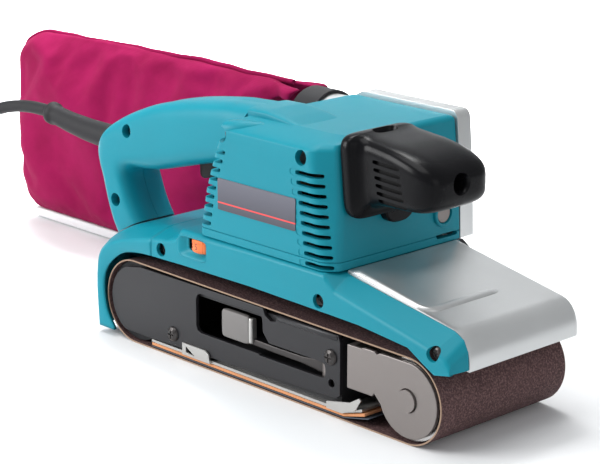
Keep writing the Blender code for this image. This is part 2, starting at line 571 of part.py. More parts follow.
# ---------------------------------------------------------------- front roller and tension
def make_front_roller():
    body = [(6.7, 46.6), (22.9, 46.6), (22.9, -46.6), (6.7, -46.6)]
    turned("front_roller", body, (NOSE_X, 0, NOSE_R), "Y", "steel", 40, ring=True)
    rod("roller_pin", 6.2, -51.2, 51.2, (NOSE_X, 0, NOSE_R), look="steel")
    nose = arc(NOSE, 21.2, 96, -160, 22)
    arm = [(68.4, 19.8), (68.4, 44.8), (79, 44.8), (80.6, 45.6), (89, 45.6), (90.7, 44.4), (93, 45.6),
           (101.9, 45.7)] + nose + [(88.8, 21.9), (87.4, 19.8)]
    yoke = prism("roller_yoke", [arm, arc(NOSE, 6.5, 0, 345, 23)], -50.0, 50.0, "steel")
    boolean(yoke, boxes("yoke_gap", [((73, -47.6, 0), (150, 47.6, 60))]))
    spring_seat = [(0, 67.9), (4.0, 67.9), (4.0, 24.0), (8.0, 24.0), (8.0, 21.0), (0, 21.0)]
    turned("tension_rod", spring_seat, (0, 0, 28), "X", "steel", 16)
    coils, radius = 6, 6.0
    per_turn = 8
    span = (-17.2, 19.8)
    steps = per_turn * coils
    helix = [(span[0] + (span[1] - span[0]) * k / steps, radius * math.cos(2 * math.pi * k / per_turn),
              28 + radius * math.sin(2 * math.pi * k / per_turn)) for k in range(steps + 1)]
    tube("tension_spring", helix, 0.9, "steel", 1)


def make_lever():
    """Flat lever on an upright pin; its pad shows in the window of the side plate."""
    px, py = LEVER_PIVOT
    pad = outline([(-35.3, 24.3, 3), (-12, 24.3), (-8, 22), (px - 3, 22), (px - 3, 27.6), (-6, 27.6),
                   (-9.6, 32, 2), (-9.6, 41, 3), (-35.3, 41, 3)], 3)
    lever = prism("tension_lever", [pad], -47.2, -44.6, "steel", at=(px, py, 25))
    boolean(lever, rod("lever_eye", 4.0, 18.5, 31, (px, py, 0), "Z", steps=24), "UNION")
    boolean(lever, rod("lever_bore", 2.3, 10, 40, (px, py, 0), "Z", steps=16))
    thumb = hull("lever_lip", [(-35, -47.0, 25), (-31, -47.0, 25), (-35, -49.6, 26), (-32, -49.6, 26),
                               (-35, -47.0, 40), (-31, -47.0, 40), (-35, -49.6, 39), (-32, -49.6, 39)])
    boolean(lever, thumb, "UNION")
    rod("lever_pin", 2.0, 13.8, 42.2, (px, py, 0), "Z", "steel", 16)


def make_controls():
    turned("tracking_knob", [(0, 69), (9, 69), (10.5, 67.5), (10.5, 58.5), (9.5, 57), (3.0, 57), (3.0, 45),
                             (0, 45)], (52, 0, 28), "Y", "black", 20)
    dial = turned("speed_dial", [(0, 78.2), (7.6, 78.2), (9.0, 77), (9.0, 71.5), (7.6, 70.4), (0, 70.4)],
                  (-51, -45.2, 0), "Z", "orange", 24)
    dial.name = "speed_dial"
    trigger = outline([(-83, 103.5, 3), (-62, 108.8, 3), (-60, 121, 3), (-83.5, 119.5, 1)], 3)
    prism("trigger", [trigger], -23.0, -11.0, "black", at=(-61, -17, 119), edge=1.5)
    button = [(0, 3.0), (3.4, 3.0), (4.0, 2.4), (4.0, -4.2), (5.6, -4.2), (5.6, -7.0), (0, -7.0)]
    turned("lock_button", button, (-72, 0, 131), "Y", "black", 20)
    boxes("switch_block", [((-96, -28, 127), (-62, -11, 140))], "black")


# ---------------------------------------------------------------- handles and grip
HANDLE = [(-29.2, 157.0), (-37.6, 156.6), (-54.7, 155.4), (-81.1, 151.8), (-99.3, 148.3), (-117.8, 143.6),
          (-136.9, 137.2), (-156.5, 129, 20), (-170.5, 122, 12), (-174.8, 115, 6), (-173, 107),
          (-167, 94), (-162.7, 79), (-156.4, 63), (-152, 57.4, 3), (-148.4, 57.4), (-143.4, 61.6),
          (-136, 66.0), (-129.6, 69.4, 2), (-136, 79, 30), (-141.6, 90, 20), (-143.5, 99.0, 9),
          (-133, 101.2), (-116.7, 104.2), (-93.4, 109.1), (-68.9, 115.6), (-52, 119.5, 8), (-44.5, 114),
          (-42.7, 121.2), (-37.7, 134.3), (-30.2, 150.9)]
HOLLOW = [(-158, 119, 4), (-136, 131), (-98, 142), (-55, 148.5), (-35.5, 150), (-41, 134.5),
          (-47, 124.5), (-70, 119.8), (-95, 113.2), (-135, 105.4), (-148, 103.5, 6), (-146.6, 92),
          (-143, 84), (-151, 82), (-159, 96), (-164.5, 110, 6)]


def make_handle():
    halves = (("handle_right", SEAM_Y - 0.15, (0, 1, 0)), ("handle_left", SEAM_Y + 0.15, (0, -1, 0)))
    hollow = prism("handle_hollow", [outline(HOLLOW)], HANDLE_Y0 + 3.5, HANDLE_Y1 - 3.5)
    slot = boxes("trigger_slot", [((-85.5, -23.8, 98), (-58.5, -10.2, 124))])
    gland = rod("cord_gland", 8.6, -190, -160, (0, SEAM_Y, 111.5), "X")
    for name, plane_y, normal in halves:
        half = prism(name, [outline(HANDLE)], HANDLE_Y0, HANDLE_Y1, "teal", edge=6.5)
        slice_off(half, (0, plane_y, 100), Vector(normal))
        for cutter in (hollow, slot, gland):
            boolean(half, cutter)
    for k, (x, z) in enumerate(((-137.0, 125.0), (-149.0, 80.0))):
        boolean(bpy.data.objects["handle_right"], rod(f"handle_well_{k}", 4.2, -40, -32.9, (x, 0, z)))
    boolean(bpy.data.objects["handle_left"], rod("button_hole", 4.4, -6, 4, (-72, 0, 131)))


def make_grip():
    """Palm grip: a flange on the housing and a rounded block, bolted through a recess in its nose."""
    shape = outline([(52.6, 156.4, 3), (56.4, 119), (57.6, 111, 2), (64, 113, 4), (72, 118, 6),
                     (108, 119.5, 9), (116, 128, 9), (116, 140, 9), (108, 148, 9), (80, 153.6, 10)], 3)
    grip = prism("front_grip", [shape], -41.0, 12.5, "black", edge=7.0)
    boolean(grip, rod("grip_recess", 5.5, GRIP_SEAT, 125, GRIP_BOLT, "X", steps=20))
    boolean(grip, rod("grip_bore", 3.0, 40, 90, GRIP_BOLT, "X", steps=16))
    head_end = GRIP_SEAT + 4.0
    head = [(0, head_end), (4.6, head_end), (4.6, GRIP_SEAT + 0.3), (2.6, GRIP_SEAT + 0.3),
            (2.6, 57.0), (0, 57.0)]
    turned("grip_screw", head, GRIP_BOLT, "X", "steel", 16)


def make_trim():
    boxes("name_plate", [((-33.5, -53.0, 100.2), (30.3, -52.3, 118.6))], "label")
    head = [(0, 1.6), (2.6, 1.4), (3.6, 0.2), (3.6, -0.2), (0, -0.2)]
    screw = turned("nose_screw", head, (133.4, SIDE_Y + 1.1, 56.7), "Y", "steel", 16)
    screw.matrix_world = screw.matrix_world @ Matrix.Rotation(math.pi, 4, "X")


# ---------------------------------------------------------------- dust bag
def make_bag():
    shape = outline([(-97.5, 141.5, 4), (-300, 143), (-376, 140, 18), (-402, 126, 24), (-397, 24, 10),
                     (-388, 8.0), (-176, 8.0, 14), (-165, 60, 25), (-112, 98, 20), (-97.5, 100)], 4)
    bag = prism("dust_bag", [shape], BAG_Y - 19, BAG_Y + 19, "cloth", edge=9.0, segments=3)
    boolean(bag, rod("bag_mouth", SPOUT_R + 0.6, -125, -60, (0, SPOUT_Y, SPOUT_Z), "X", steps=32))
    band = [(SPOUT_R + 0.4, -78), (SPOUT_R + 2.4, -78), (SPOUT_R + 2.4, -97.1), (SPOUT_R + 0.4, -97.1)]
    turned("bag_collar", band, (0, SPOUT_Y, SPOUT_Z), "X", "rubber", 32, ring=True)
    rail = [(-388, 1.0), (-180, 1.0), (-180, 7.6), (-388, 7.6)]
    prism("bag_rail", [rail], BAG_Y - 5, BAG_Y + 5, "white", edge=1.0)


# ---------------------------------------------------------------- mains lead
def make_cord():
    start, end = Vector(GUARD_FROM), Vector(GUARD_TO)
    length = (end - start).length
    sleeve_profile = [(CORD_R + 0.4, length), (6.2, length), (8.0, 2), (8.0, 0), (CORD_R + 0.4, 0)]
    guard = turned("cord_guard", sleeve_profile, (0, 0, 0), "Z", "rubber", 20, ring=True)
    along = (end - start).to_track_quat("Z", "Y").to_matrix().to_4x4()
    guard.matrix_world = Matrix.Translation(start * MM) @ along
    tube("power_cord", smooth_path(CORD_ROUTE, 3), CORD_R, "rubber")
    turned("cord_coil", [(COIL_MEAN_R - 16, 14.8), (COIL_MEAN_R + 12, 14.8), (COIL_MEAN_R + 16, 8),
                         (COIL_MEAN_R + 16, 0.2), (COIL_MEAN_R - 16, 0.2)], (*COIL, 0), "Z", "rubber", 36,
           ring=True)
    plug = boxes("mains_plug", [((12, -13, -9), (46, 13, 9))], "rubber")
    for k, span in enumerate((((0, -6, -6), (13, 6, 6)), ((45, -11.6, -2.2), (64, -7.2, 2.2)),
                              ((45, 7.2, -2.2), (64, 11.6, 2.2)))):
        boolean(plug, boxes(f"plug_part_{k}", [span]), "UNION")
    turn = Matrix.Translation(Vector(PLUG_AT) * MM) @ Matrix.Rotation(PLUG_HEADING, 4, "Z")
    for piece in [plug] + [step.object for step in plug.modifiers]:
        piece.matrix_world = turn


for make in (make_belt, make_sole, make_side_plate, make_frame, make_base, make_rear_cover,
             make_front_cover, make_motor_housing, make_gear_case, make_belt_cover, make_spout,
             make_motor, make_drive, make_front_roller, make_lever, make_controls, make_handle,
             make_grip, make_trim, make_bag, make_cord):
    make()
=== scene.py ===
"""Looks of a handheld belt sander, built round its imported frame.  Lengths in the sections are
millimetres in the frame's axes: X to the nose, Y to the bag side, Z up from the belt's flat face."""
import json
import math

import bmesh
import bpy
import numpy as np
from mathutils import Matrix, Vector


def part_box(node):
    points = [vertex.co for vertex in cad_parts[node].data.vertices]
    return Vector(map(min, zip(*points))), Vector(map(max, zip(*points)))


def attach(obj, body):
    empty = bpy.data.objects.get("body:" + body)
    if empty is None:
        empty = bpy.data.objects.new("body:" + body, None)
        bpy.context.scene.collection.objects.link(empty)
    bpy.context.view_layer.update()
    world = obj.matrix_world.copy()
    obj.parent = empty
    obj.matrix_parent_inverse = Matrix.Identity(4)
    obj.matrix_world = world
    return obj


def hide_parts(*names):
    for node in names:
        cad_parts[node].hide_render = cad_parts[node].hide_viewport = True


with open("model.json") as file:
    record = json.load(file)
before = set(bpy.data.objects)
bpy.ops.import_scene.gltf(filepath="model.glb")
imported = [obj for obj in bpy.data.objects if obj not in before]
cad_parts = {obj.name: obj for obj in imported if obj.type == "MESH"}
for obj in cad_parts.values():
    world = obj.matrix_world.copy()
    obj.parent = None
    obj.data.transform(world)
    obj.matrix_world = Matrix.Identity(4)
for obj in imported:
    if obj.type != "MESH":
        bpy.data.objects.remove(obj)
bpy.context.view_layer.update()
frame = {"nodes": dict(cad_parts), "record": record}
MM = 0.001


# ---- Studio: a pale seamless floor, a broad soft light overhead and a weaker one at each side;
# the floor sweeps up into a backdrop far behind.
# The camera stands off the nose at the right of the tool, on a long lens, a little above it.
scene = bpy.context.scene
scene.view_settings.view_transform = "Standard"
AZIMUTH, ELEVATION = math.radians(46.61), math.radians(15.93)
eye_back = Vector((math.sin(AZIMUTH) * math.cos(ELEVATION),
                   -math.cos(AZIMUTH) * math.cos(ELEVATION), math.sin(ELEVATION)))
lens = bpy.data.cameras.new("studio_camera")
lens.lens = 122.35
lens.sensor_width = 36.0
lens.clip_end = 20.0
camera = bpy.data.objects.new("studio_camera", lens)
camera.location = (0.8056, -0.7817, 0.4038)
camera.rotation_euler = eye_back.to_track_quat("Z", "Y").to_euler()
scene.collection.objects.link(camera)
scene.camera = camera

world = bpy.data.worlds.new("studio")
world.use_nodes = True
world.node_tree.nodes["Background"].inputs["Color"].default_value = (0.96, 0.98, 1.0, 1)
world.node_tree.nodes["Background"].inputs["Strength"].default_value = 0.42
scene.world = world


def soft_light(name, at, target, size, watts, spread=180):
    """A square area light that faces a target point and shines over a cone of spread degrees."""
    data = bpy.data.lights.new(name, "AREA")
    data.size = size
    data.energy = watts
    data.spread = math.radians(spread)
    lamp = bpy.data.objects.new(name, data)
    lamp.location = at
    lamp.rotation_euler = (Vector(at) - Vector(target)).to_track_quat("Z", "Y").to_euler()
    scene.collection.objects.link(lamp)


soft_light("overhead", (-0.1, -0.25, 1.4), (0, 0, 0.08), 1.0, 10.5)
soft_light("side_fill", (-0.9, -1.2, 0.7), (0, 0, 0.08), 0.8, 21)
soft_light("nose_fill", (1.3, -0.1, 0.5), (0, 0, 0.06), 0.8, 2)
soft_light("far_floor_light", (-1.05, 0.98, 1.25), (-1.05, 0.98, 0), 1.5, 62, spread=82)


def surface(name, grid, wrap=False, caps=False, facing=None, crease=38):
    """Mesh from grids of points in mm, (..., rows, columns, 3): each cell of a grid is a face.
    wrap joins the last column to the first, caps closes the first and last row, and facing is a
    direction for the first cell of an open sheet to look in."""
    grid = np.asarray(grid, float)
    grid = grid.reshape((-1,) + grid.shape[-3:])
    count, rows, columns = grid.shape[:3]
    index = np.arange(count * rows * columns).reshape(count, rows, columns)
    ahead = np.roll(index, -1, 2) if wrap else index[:, :, 1:]
    here = index if wrap else index[:, :, :-1]
    quads = np.stack([here[:, :-1], ahead[:, :-1], ahead[:, 1:], here[:, 1:]], -1).reshape(-1, 4)
    points = grid.reshape(-1, 3)
    if facing is not None:
        corner = points[quads[0]]
        if np.dot(np.cross(corner[1] - corner[0], corner[3] - corner[0]), facing) < 0:
            quads = quads[:, ::-1]
    faces = quads.tolist()
    if caps:
        faces += index[:, 0].tolist() + index[:, -1].tolist()
    mesh = bpy.data.meshes.new(name)
    mesh.from_pydata((points * MM).tolist(), [], faces)
    if caps or facing is None:
        cleaner = bmesh.new()
        cleaner.from_mesh(mesh)
        bmesh.ops.remove_doubles(cleaner, verts=cleaner.verts, dist=2e-6)
        bmesh.ops.recalc_face_normals(cleaner, faces=cleaner.faces)
        cleaner.to_mesh(mesh)
        cleaner.free()
    mesh.shade_smooth()
    mesh.set_sharp_from_angle(angle=math.radians(crease))
    piece = bpy.data.objects.new(name, mesh)
    scene.collection.objects.link(piece)
    return piece


away = np.array([-math.sin(AZIMUTH), math.cos(AZIMUTH)])
across_floor = np.array([math.cos(AZIMUTH), math.sin(AZIMUTH)])
bend = np.linspace(0, np.pi / 2, 12)
sweep_out = np.concatenate([[-6000], 2600 + 600 * np.sin(bend), [3200]])
sweep_up = np.concatenate([[0], 600 * (1 - np.cos(bend)), [3000]]) - 0.05
floor_rows = [[(*(away * out + across_floor * wide), up) for wide in (-9000, 9000)]
              for out, up in zip(sweep_out, sweep_up)]
floor = surface("floor", floor_rows, facing=(0, 0, 1))


def new_material(name, colour, roughness, metallic=0.0, **more):
    """A Principled material and its shader node; more are other sockets by name, _ for a space."""
    made = bpy.data.materials.new(name)
    made.use_nodes = True
    shader = made.node_tree.nodes["Principled BSDF"]
    shader.inputs["Base Color"].default_value = (*colour, 1)
    shader.inputs["Roughness"].default_value = roughness
    shader.inputs["Metallic"].default_value = metallic
    for socket, value in more.items():
        shader.inputs[socket.replace("_", " ")].default_value = value
    return made, shader


paper, _ = new_material("floor_paper", (0.86, 0.87, 0.88), 0.8)
floor.data.materials.append(paper)


# ---- Finishes that several materials share, each a node group placed with its own values.
# Moulding grain is the fine spark-eroded texture of a tool, with a slow drift in tone and gloss.
def node_group(name, inputs, outputs):
    """An empty shader group with named float or colour sockets; returns it with its two ends."""
    group = bpy.data.node_groups.new(name, "ShaderNodeTree")
    for socket, value in inputs:
        kind = "NodeSocketColor" if isinstance(value, tuple) else "NodeSocketFloat"
        made = group.interface.new_socket(socket, in_out="INPUT", socket_type=kind)
        made.default_value = value
    for socket, kind in outputs:
        group.interface.new_socket(socket, in_out="OUTPUT", socket_type=kind)
    return group, group.nodes.new("NodeGroupInput"), group.nodes.new("NodeGroupOutput")


def add_noise(tree, vector, scale, detail=3.0, rough=0.5, stretch=None):
    """A noise texture on a vector socket, its scale in features per metre, stretched if asked."""
    if stretch:
        mapping = tree.nodes.new("ShaderNodeMapping")
        mapping.inputs["Scale"].default_value = stretch
        tree.links.new(vector, mapping.inputs["Vector"])
        vector = mapping.outputs["Vector"]
    noise = tree.nodes.new("ShaderNodeTexNoise")
    noise.inputs["Detail"].default_value = detail
    noise.inputs["Roughness"].default_value = rough
    if hasattr(scale, "links"):
        tree.links.new(scale, noise.inputs["Scale"])
    else:
        noise.inputs["Scale"].default_value = scale
    tree.links.new(vector, noise.inputs["Vector"])
    return noise.outputs["Fac"]


def add_math(tree, how, a, b=0.0, c=None):
    """One Math node; each of a, b and c is a socket or a number."""
    node = tree.nodes.new("ShaderNodeMath")
    node.operation = how
    for socket, value in zip(node.inputs, (a, b, c)):
        if value is None:
            continue
        if hasattr(value, "links"):
            tree.links.new(value, socket)
        else:
            socket.default_value = value
    return node.outputs[0]


def add_mix(tree, factor, a, b):
    """Colour mix of a and b, each a socket or a colour."""
    node = tree.nodes.new("ShaderNodeMix")
    node.data_type = "RGBA"
    tree.links.new(factor, node.inputs["Factor"])
    for socket, value in ((node.inputs[6], a), (node.inputs[7], b)):
        if hasattr(value, "links"):
            tree.links.new(value, socket)
        else:
            socket.default_value = (*value, 1) if len(value) == 3 else value
    return node.outputs[2]


def add_ramp(tree, factor, low, high, out_low=0.0, out_high=1.0):
    """Linear remap of a value, clamped."""
    node = tree.nodes.new("ShaderNodeMapRange")
    tree.links.new(factor, node.inputs["Value"])
    for socket, value in zip(("From Min", "From Max", "To Min", "To Max"),
                             (low, high, out_low, out_high)):
        node.inputs[socket].default_value = value
    return node.outputs["Result"]


def object_point(tree):
    """The Object coordinates socket of a shader tree, in metres."""
    return tree.nodes.new("ShaderNodeTexCoord").outputs["Object"]


surface_grain, grain_in, grain_out = node_group(
    "surface_grain",
    [("Color", (0.5, 0.5, 0.5, 1)), ("Drift", 0.06), ("Roughness", 0.4), ("Gloss Drift", 0.08),
     ("Grain Scale", 2600.0), ("Dust", 0.0)],
    [("Color", "NodeSocketColor"), ("Roughness", "NodeSocketFloat"), ("Height", "NodeSocketFloat")])
grain_at = object_point(surface_grain)
slow = add_noise(surface_grain, grain_at, 22.0, 4.0, 0.6)
fine = add_noise(surface_grain, grain_at, grain_in.outputs["Grain Scale"], 2.0, 0.6)
lighter = add_math(surface_grain, "SUBTRACT", slow, 0.5)
bright = add_math(surface_grain, "MULTIPLY", lighter, grain_in.outputs["Drift"])
gain = add_math(surface_grain, "MULTIPLY_ADD", bright, 2.0, 1.0)
tint = surface_grain.nodes.new("ShaderNodeVectorMath")
tint.operation = "SCALE"
surface_grain.links.new(grain_in.outputs["Color"], tint.inputs[0])
surface_grain.links.new(gain, tint.inputs["Scale"])
specks = add_ramp(surface_grain, add_noise(surface_grain, grain_at, 380.0, 5.0, 0.75), 0.6, 0.78)
dusty = add_math(surface_grain, "MULTIPLY", specks, grain_in.outputs["Dust"])
surface_grain.links.new(add_mix(surface_grain, dusty, tint.outputs[0], (0.62, 0.6, 0.57)),
                        grain_out.inputs["Color"])
drift = add_math(surface_grain, "MULTIPLY", lighter, grain_in.outputs["Gloss Drift"])
drifted = add_math(surface_grain, "MULTIPLY_ADD", drift, 2.0, grain_in.outputs["Roughness"])
surface_grain.links.new(drifted, grain_out.inputs["Roughness"])
surface_grain.links.new(fine, grain_out.inputs["Height"])


def grained(name, colour, roughness, metallic=0.0, bump=0.15, depth=0.00004, grain_scale=2600.0,
            drift_by=0.06, gloss_drift=0.08, dust=0.0, **more):
    """A material that takes colour, gloss and relief from the surface grain group."""
    made, shader = new_material(name, colour, roughness, metallic, **more)
    tree = made.node_tree
    grain = tree.nodes.new("ShaderNodeGroup")
    grain.node_tree = surface_grain
    for socket, value in (("Color", (*colour, 1)), ("Drift", drift_by), ("Roughness", roughness),
                          ("Gloss Drift", gloss_drift), ("Grain Scale", grain_scale), ("Dust", dust)):
        grain.inputs[socket].default_value = value
    tree.links.new(grain.outputs["Color"], shader.inputs["Base Color"])
    tree.links.new(grain.outputs["Roughness"], shader.inputs["Roughness"])
    relief = tree.nodes.new("ShaderNodeBump")
    relief.inputs["Strength"].default_value = bump
    relief.inputs["Distance"].default_value = depth
    tree.links.new(grain.outputs["Height"], relief.inputs["Height"])
    tree.links.new(relief.outputs["Normal"], shader.inputs["Normal"])
    return made


teal_nylon = grained("teal_nylon", (0.004, 0.232, 0.305), 0.42, bump=0.25, dust=0.008,
                     Specular_IOR_Level=0.22)
silver_paint = grained("silver_paint", (0.63, 0.64, 0.64), 0.33, 0.72, bump=0.2, grain_scale=1500.0)
black_moulding = grained("black_moulding", (0.005, 0.005, 0.006), 0.26, bump=0.2, dust=0.004,
                         Specular_IOR_Level=0.12)
matt_rubber = grained("matt_rubber", (0.010, 0.010, 0.012), 0.60, bump=0.35, dust=0.02,
                      Specular_IOR_Level=0.35)
plate_paint = grained("plate_paint", (0.016, 0.0155, 0.018), 0.38, 0.1, bump=0.15,
                      Specular_IOR_Level=0.4)
worn_steel = grained("worn_steel", (0.24, 0.215, 0.205), 0.40, 0.75, bump=0.25, grain_scale=900.0)
zinc_steel = grained("zinc_steel", (0.52, 0.51, 0.49), 0.34, 0.85, bump=0.2, grain_scale=900.0)
dark_steel = grained("dark_steel", (0.062, 0.057, 0.056), 0.34, 0.8, bump=0.25, grain_scale=900.0)
dark_casting = grained("dark_casting", (0.02, 0.02, 0.022), 0.5, 0.3, bump=0.4, grain_scale=1200.0)


def finish_piece(piece, body, material, slot, *replaced):
    """Give a finished piece its material and body, and hide the frame nodes that it stands for; slot is not
    used.
    """
    piece.data.materials.clear()
    piece.data.materials.append(material)
    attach(piece, body)
    if replaced:
        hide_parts(*replaced)
    return piece


# ---- Mains lead: 1.84 m of round rubber flex.  It leaves the rear of the handle through a
# tapered guard, drops to the floor and is wound into a coil of six turns in two layers.
CORD_D = 8.0
OUTER_TURN_R, EYE_R, TURNS_DOWN = 56.0, 32.0, 3.0
lead_route = [(-237.5, -17, 118.2), (-262, -17.2, 118), (-292, -18, 112), (-318, -21, 98),
              (-338, -26, 78), (-355, -33, 55), (-370, -42, 33), (-384, -54, 15.5),
              (-396, -68, 6.5), (-404.2, -83, 4.2)]
coil_low, coil_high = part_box("cord_coil")
coil_centre = (coil_low + coil_high) / 2 / MM


def catmull(points, per_span):
    """Catmull-Rom curve through the points, per_span samples to each span, as an array."""
    p = np.asarray(points, float)
    p = np.vstack([2 * p[0] - p[1], p, 2 * p[-1] - p[-2]])
    t = np.linspace(0, 1, per_span, endpoint=False)[None, :, None]
    a, b, c, d = (p[k:len(p) - 3 + k][:, None, :] for k in range(4))
    curve = 0.5 * (2 * b + (c - a) * t + (2 * a - 5 * b + 4 * c - d) * t ** 2
                   + (3 * b - a - 3 * c + d) * t ** 3)
    return np.vstack([curve.reshape(-1, p.shape[1]), p[-2]])


def coil_points():
    """Three turns inward on the floor, one round the eye, then two outward in the hollows above:
    radius and height are functions of the turn number, joined by short ramps."""
    turn = np.arange(0.08, 6.13, 1 / 30)
    lead_in = 9 * np.clip(1 - turn / 0.3, 0, 1) ** 2
    inward = OUTER_TURN_R - CORD_D * np.clip(turn, 0, TURNS_DOWN) + lead_in
    step_out = CORD_D / 2 * np.clip((turn - 3.8) / 0.25, 0, 1)
    outward = EYE_R + step_out + CORD_D * np.clip(turn - 4.0, 0, 2.0)
    radius = np.where(turn < 3.7, inward, outward)
    climb = np.clip((turn - 3.66) / 0.3, 0, 1)
    leave = np.clip((turn - 5.92) / 0.22, 0, 1)
    layer_rise, plug_rise = 6.9, 9.5
    height = CORD_D / 2 + 0.2 + layer_rise * climb * climb * (3 - 2 * climb) + plug_rise * leave ** 1.5
    angle = math.radians(155.5) + 2 * np.pi * turn
    return np.stack([coil_centre.x + radius * np.cos(angle), coil_centre.y + radius * np.sin(angle),
                     height], 1)


PLUG_AT, PLUG_HEADING = np.array([-380.0, -145.0, 24.6]), math.radians(-20)
plug_way = np.array([math.cos(PLUG_HEADING), math.sin(PLUG_HEADING), 0.0])
lead_points = np.vstack([catmull(lead_route, 4), coil_points(),
                         [PLUG_AT - 11 * plug_way - [0, 0, 1.2], PLUG_AT + 4 * plug_way]])
for _ in range(3):
    lead_points[1:-1] = (lead_points[:-2] + 2 * lead_points[1:-1] + lead_points[2:]) / 4


def curve_piece(name, points, radius, resolution=6):
    """A round bar with closed ends along points in mm, as a poly curve."""
    data = bpy.data.curves.new(name, "CURVE")
    data.dimensions = "3D"
    data.bevel_depth = radius * MM
    data.bevel_resolution = resolution
    data.use_fill_caps = True
    spline = data.splines.new("POLY")
    spline.points.add(len(points) - 1)
    flat = np.ones((len(points), 4))
    flat[:, :3] = np.asarray(points) * MM
    spline.points.foreach_set("co", flat.ravel())
    spline.use_smooth = True
    piece = bpy.data.objects.new(name, data)
    scene.collection.objects.link(piece)
    return piece


mains_lead = curve_piece("mains_lead", lead_points, CORD_D / 2)
finish_piece(mains_lead, "body", matt_rubber, "rubber", "power_cord", "cord_coil")


# The plug is a plain two-pin rubber moulding with a ribbed neck; its pins are nickel plated.
def superellipse(count, half_a, half_b, power):
    """Closed curve |a|^p + |b|^p = 1 at count angles, as (count, 2)."""
    angle = np.linspace(0, 2 * np.pi, count, endpoint=False)
    c, s = np.cos(angle), np.sin(angle)
    return np.stack([half_a * np.sign(c) * np.abs(c) ** (2 / power),
                     half_b * np.sign(s) * np.abs(s) ** (2 / power)], 1)


def loft(name, stations):
    """Rings of superellipses across a path: each station is (centre, side, up, half_a, half_b, power)."""
    rings = []
    for centre, side, up, half_a, half_b, power in stations:
        ring = superellipse(48, half_a, half_b, power)
        rings.append(np.asarray(centre) + ring[:, :1] * np.asarray(side) + ring[:, 1:] * np.asarray(up))
    return surface(name, rings, wrap=True, caps=True)


plug_side = np.array([-plug_way[1], plug_way[0], 0.0])
plug_sizes = [(0, 4.6, 4.6, 2), (1, 5.6, 5.6, 2), (4, 5.6, 5.6, 2), (5, 4.9, 4.9, 2), (7, 4.9, 4.9, 2),
              (8, 6.0, 6.0, 2.2), (11, 6.4, 6.2, 2.4), (14, 9.5, 7.4, 3), (18, 12.2, 8.6, 3.6),
              (24, 13, 9, 4), (42, 13, 9, 4.5), (45, 12.4, 8.4, 4.5), (46, 11, 7, 4)]
plug_body = loft("plug_body", [(PLUG_AT + plug_way * s, plug_side, (0, 0, 1), a, b, p)
                               for s, a, b, p in plug_sizes])
finish_piece(plug_body, "body", matt_rubber, "rubber", "mains_plug")
PIN_SPACING = 18.8
for hand in (-1, 1):
    root = PLUG_AT + plug_side * PIN_SPACING / 2 * hand
    pin = loft(f"plug_pin_{'left' if hand < 0 else 'right'}",
               [(root + plug_way * s, plug_side, (0, 0, 1), r, r, 2)
                for s, r in ((45, 2.1), (62.4, 2.1), (63.4, 1.7), (63.9, 0.8))])
    finish_piece(pin, "body", zinc_steel, "steel")

# The guard is a rubber cone with a collar at its free end.
guard_from, guard_to = np.array([-175.6, -17, 112.0]), np.array([-237.0, -17, 118.2])
guard_run = (guard_to - guard_from) / np.linalg.norm(guard_to - guard_from)
guard_up = np.array([guard_run[2], 0, -guard_run[0]])
guard_length = np.linalg.norm(guard_to - guard_from)
GUARD_DROOP = 1.4
guard_profile = [(-13, 7.4), (-6, 7.7), (0, 7.9), (4, 7.8), (20, 7.3), (40, 6.6), (52, 6.2),
                 (55, 6.3), (56, 7.0), (57.5, 7.3), (60, 7.2), (61.2, 6.4), (guard_length, 4.4)]
guard_stations = []
for s, r in guard_profile:
    droop = GUARD_DROOP * math.sin(math.pi * max(s, 0) / 62)
    guard_stations.append((guard_from + guard_run * s - guard_up * droop, (0, 1, 0), guard_up, r, r, 2))
guard = loft("lead_guard", guard_stations)
finish_piece(guard, "body", matt_rubber, "rubber", "cord_guard")

# ---- Frame nodes that keep their shape: motor, gears, bearings, shafts and pulleys inside the casings.
# Laminated and turned steel, bronze bushes, a nylon fan and a rubber toothed belt, press fitted.
body_of = {node: name for name, nodes in frame["record"]["behaviour"]["bodies"].items() for node in nodes}


def dress(material, *nodes):
    """Give frame nodes a material in place of the plain one, their meshes left alone."""
    for node in nodes:
        mesh = frame["nodes"][node].data
        mesh.materials.clear()
        mesh.materials.append(material)


laminated_steel, laminated_shader = new_material("laminated_steel", (0.30, 0.30, 0.30), 0.42, 0.8)
tree = laminated_steel.node_tree
layers = tree.nodes.new("ShaderNodeTexWave")
layers.bands_direction = "Y"
layers.inputs["Scale"].default_value = 320.0
layers.inputs["Distortion"].default_value = 0.6
tree.links.new(object_point(tree), layers.inputs["Vector"])
tree.links.new(add_mix(tree, layers.outputs["Fac"], (0.16, 0.15, 0.15), (0.42, 0.41, 0.40)),
               laminated_shader.inputs["Base Color"])
bronze = grained("bronze", (0.52, 0.27, 0.11), 0.35, 0.9, bump=0.2)
ground_steel = grained("ground_steel", (0.60, 0.59, 0.58), 0.26, 0.95, bump=0.15, grain_scale=700.0)
dress(laminated_steel, "stator_core", "armature_core")
dress(bronze, "commutator", "shaft_bush")
dress(matt_rubber, "timing_belt", "drive_roller")
dress(black_moulding, "cooling_fan", "switch_block", "brush_front", "brush_rear")
dress(ground_steel, "motor_shaft", "motor_bearing_near", "motor_bearing_far", "layshaft", "reduction_gear",
      "drive_pulley", "driven_pulley", "roller_shaft", "roller_bearing", "lever_pin", "tension_rod",
      "tension_spring", "front_roller", "grip_screw")
dress(worn_steel, "roller_pin")


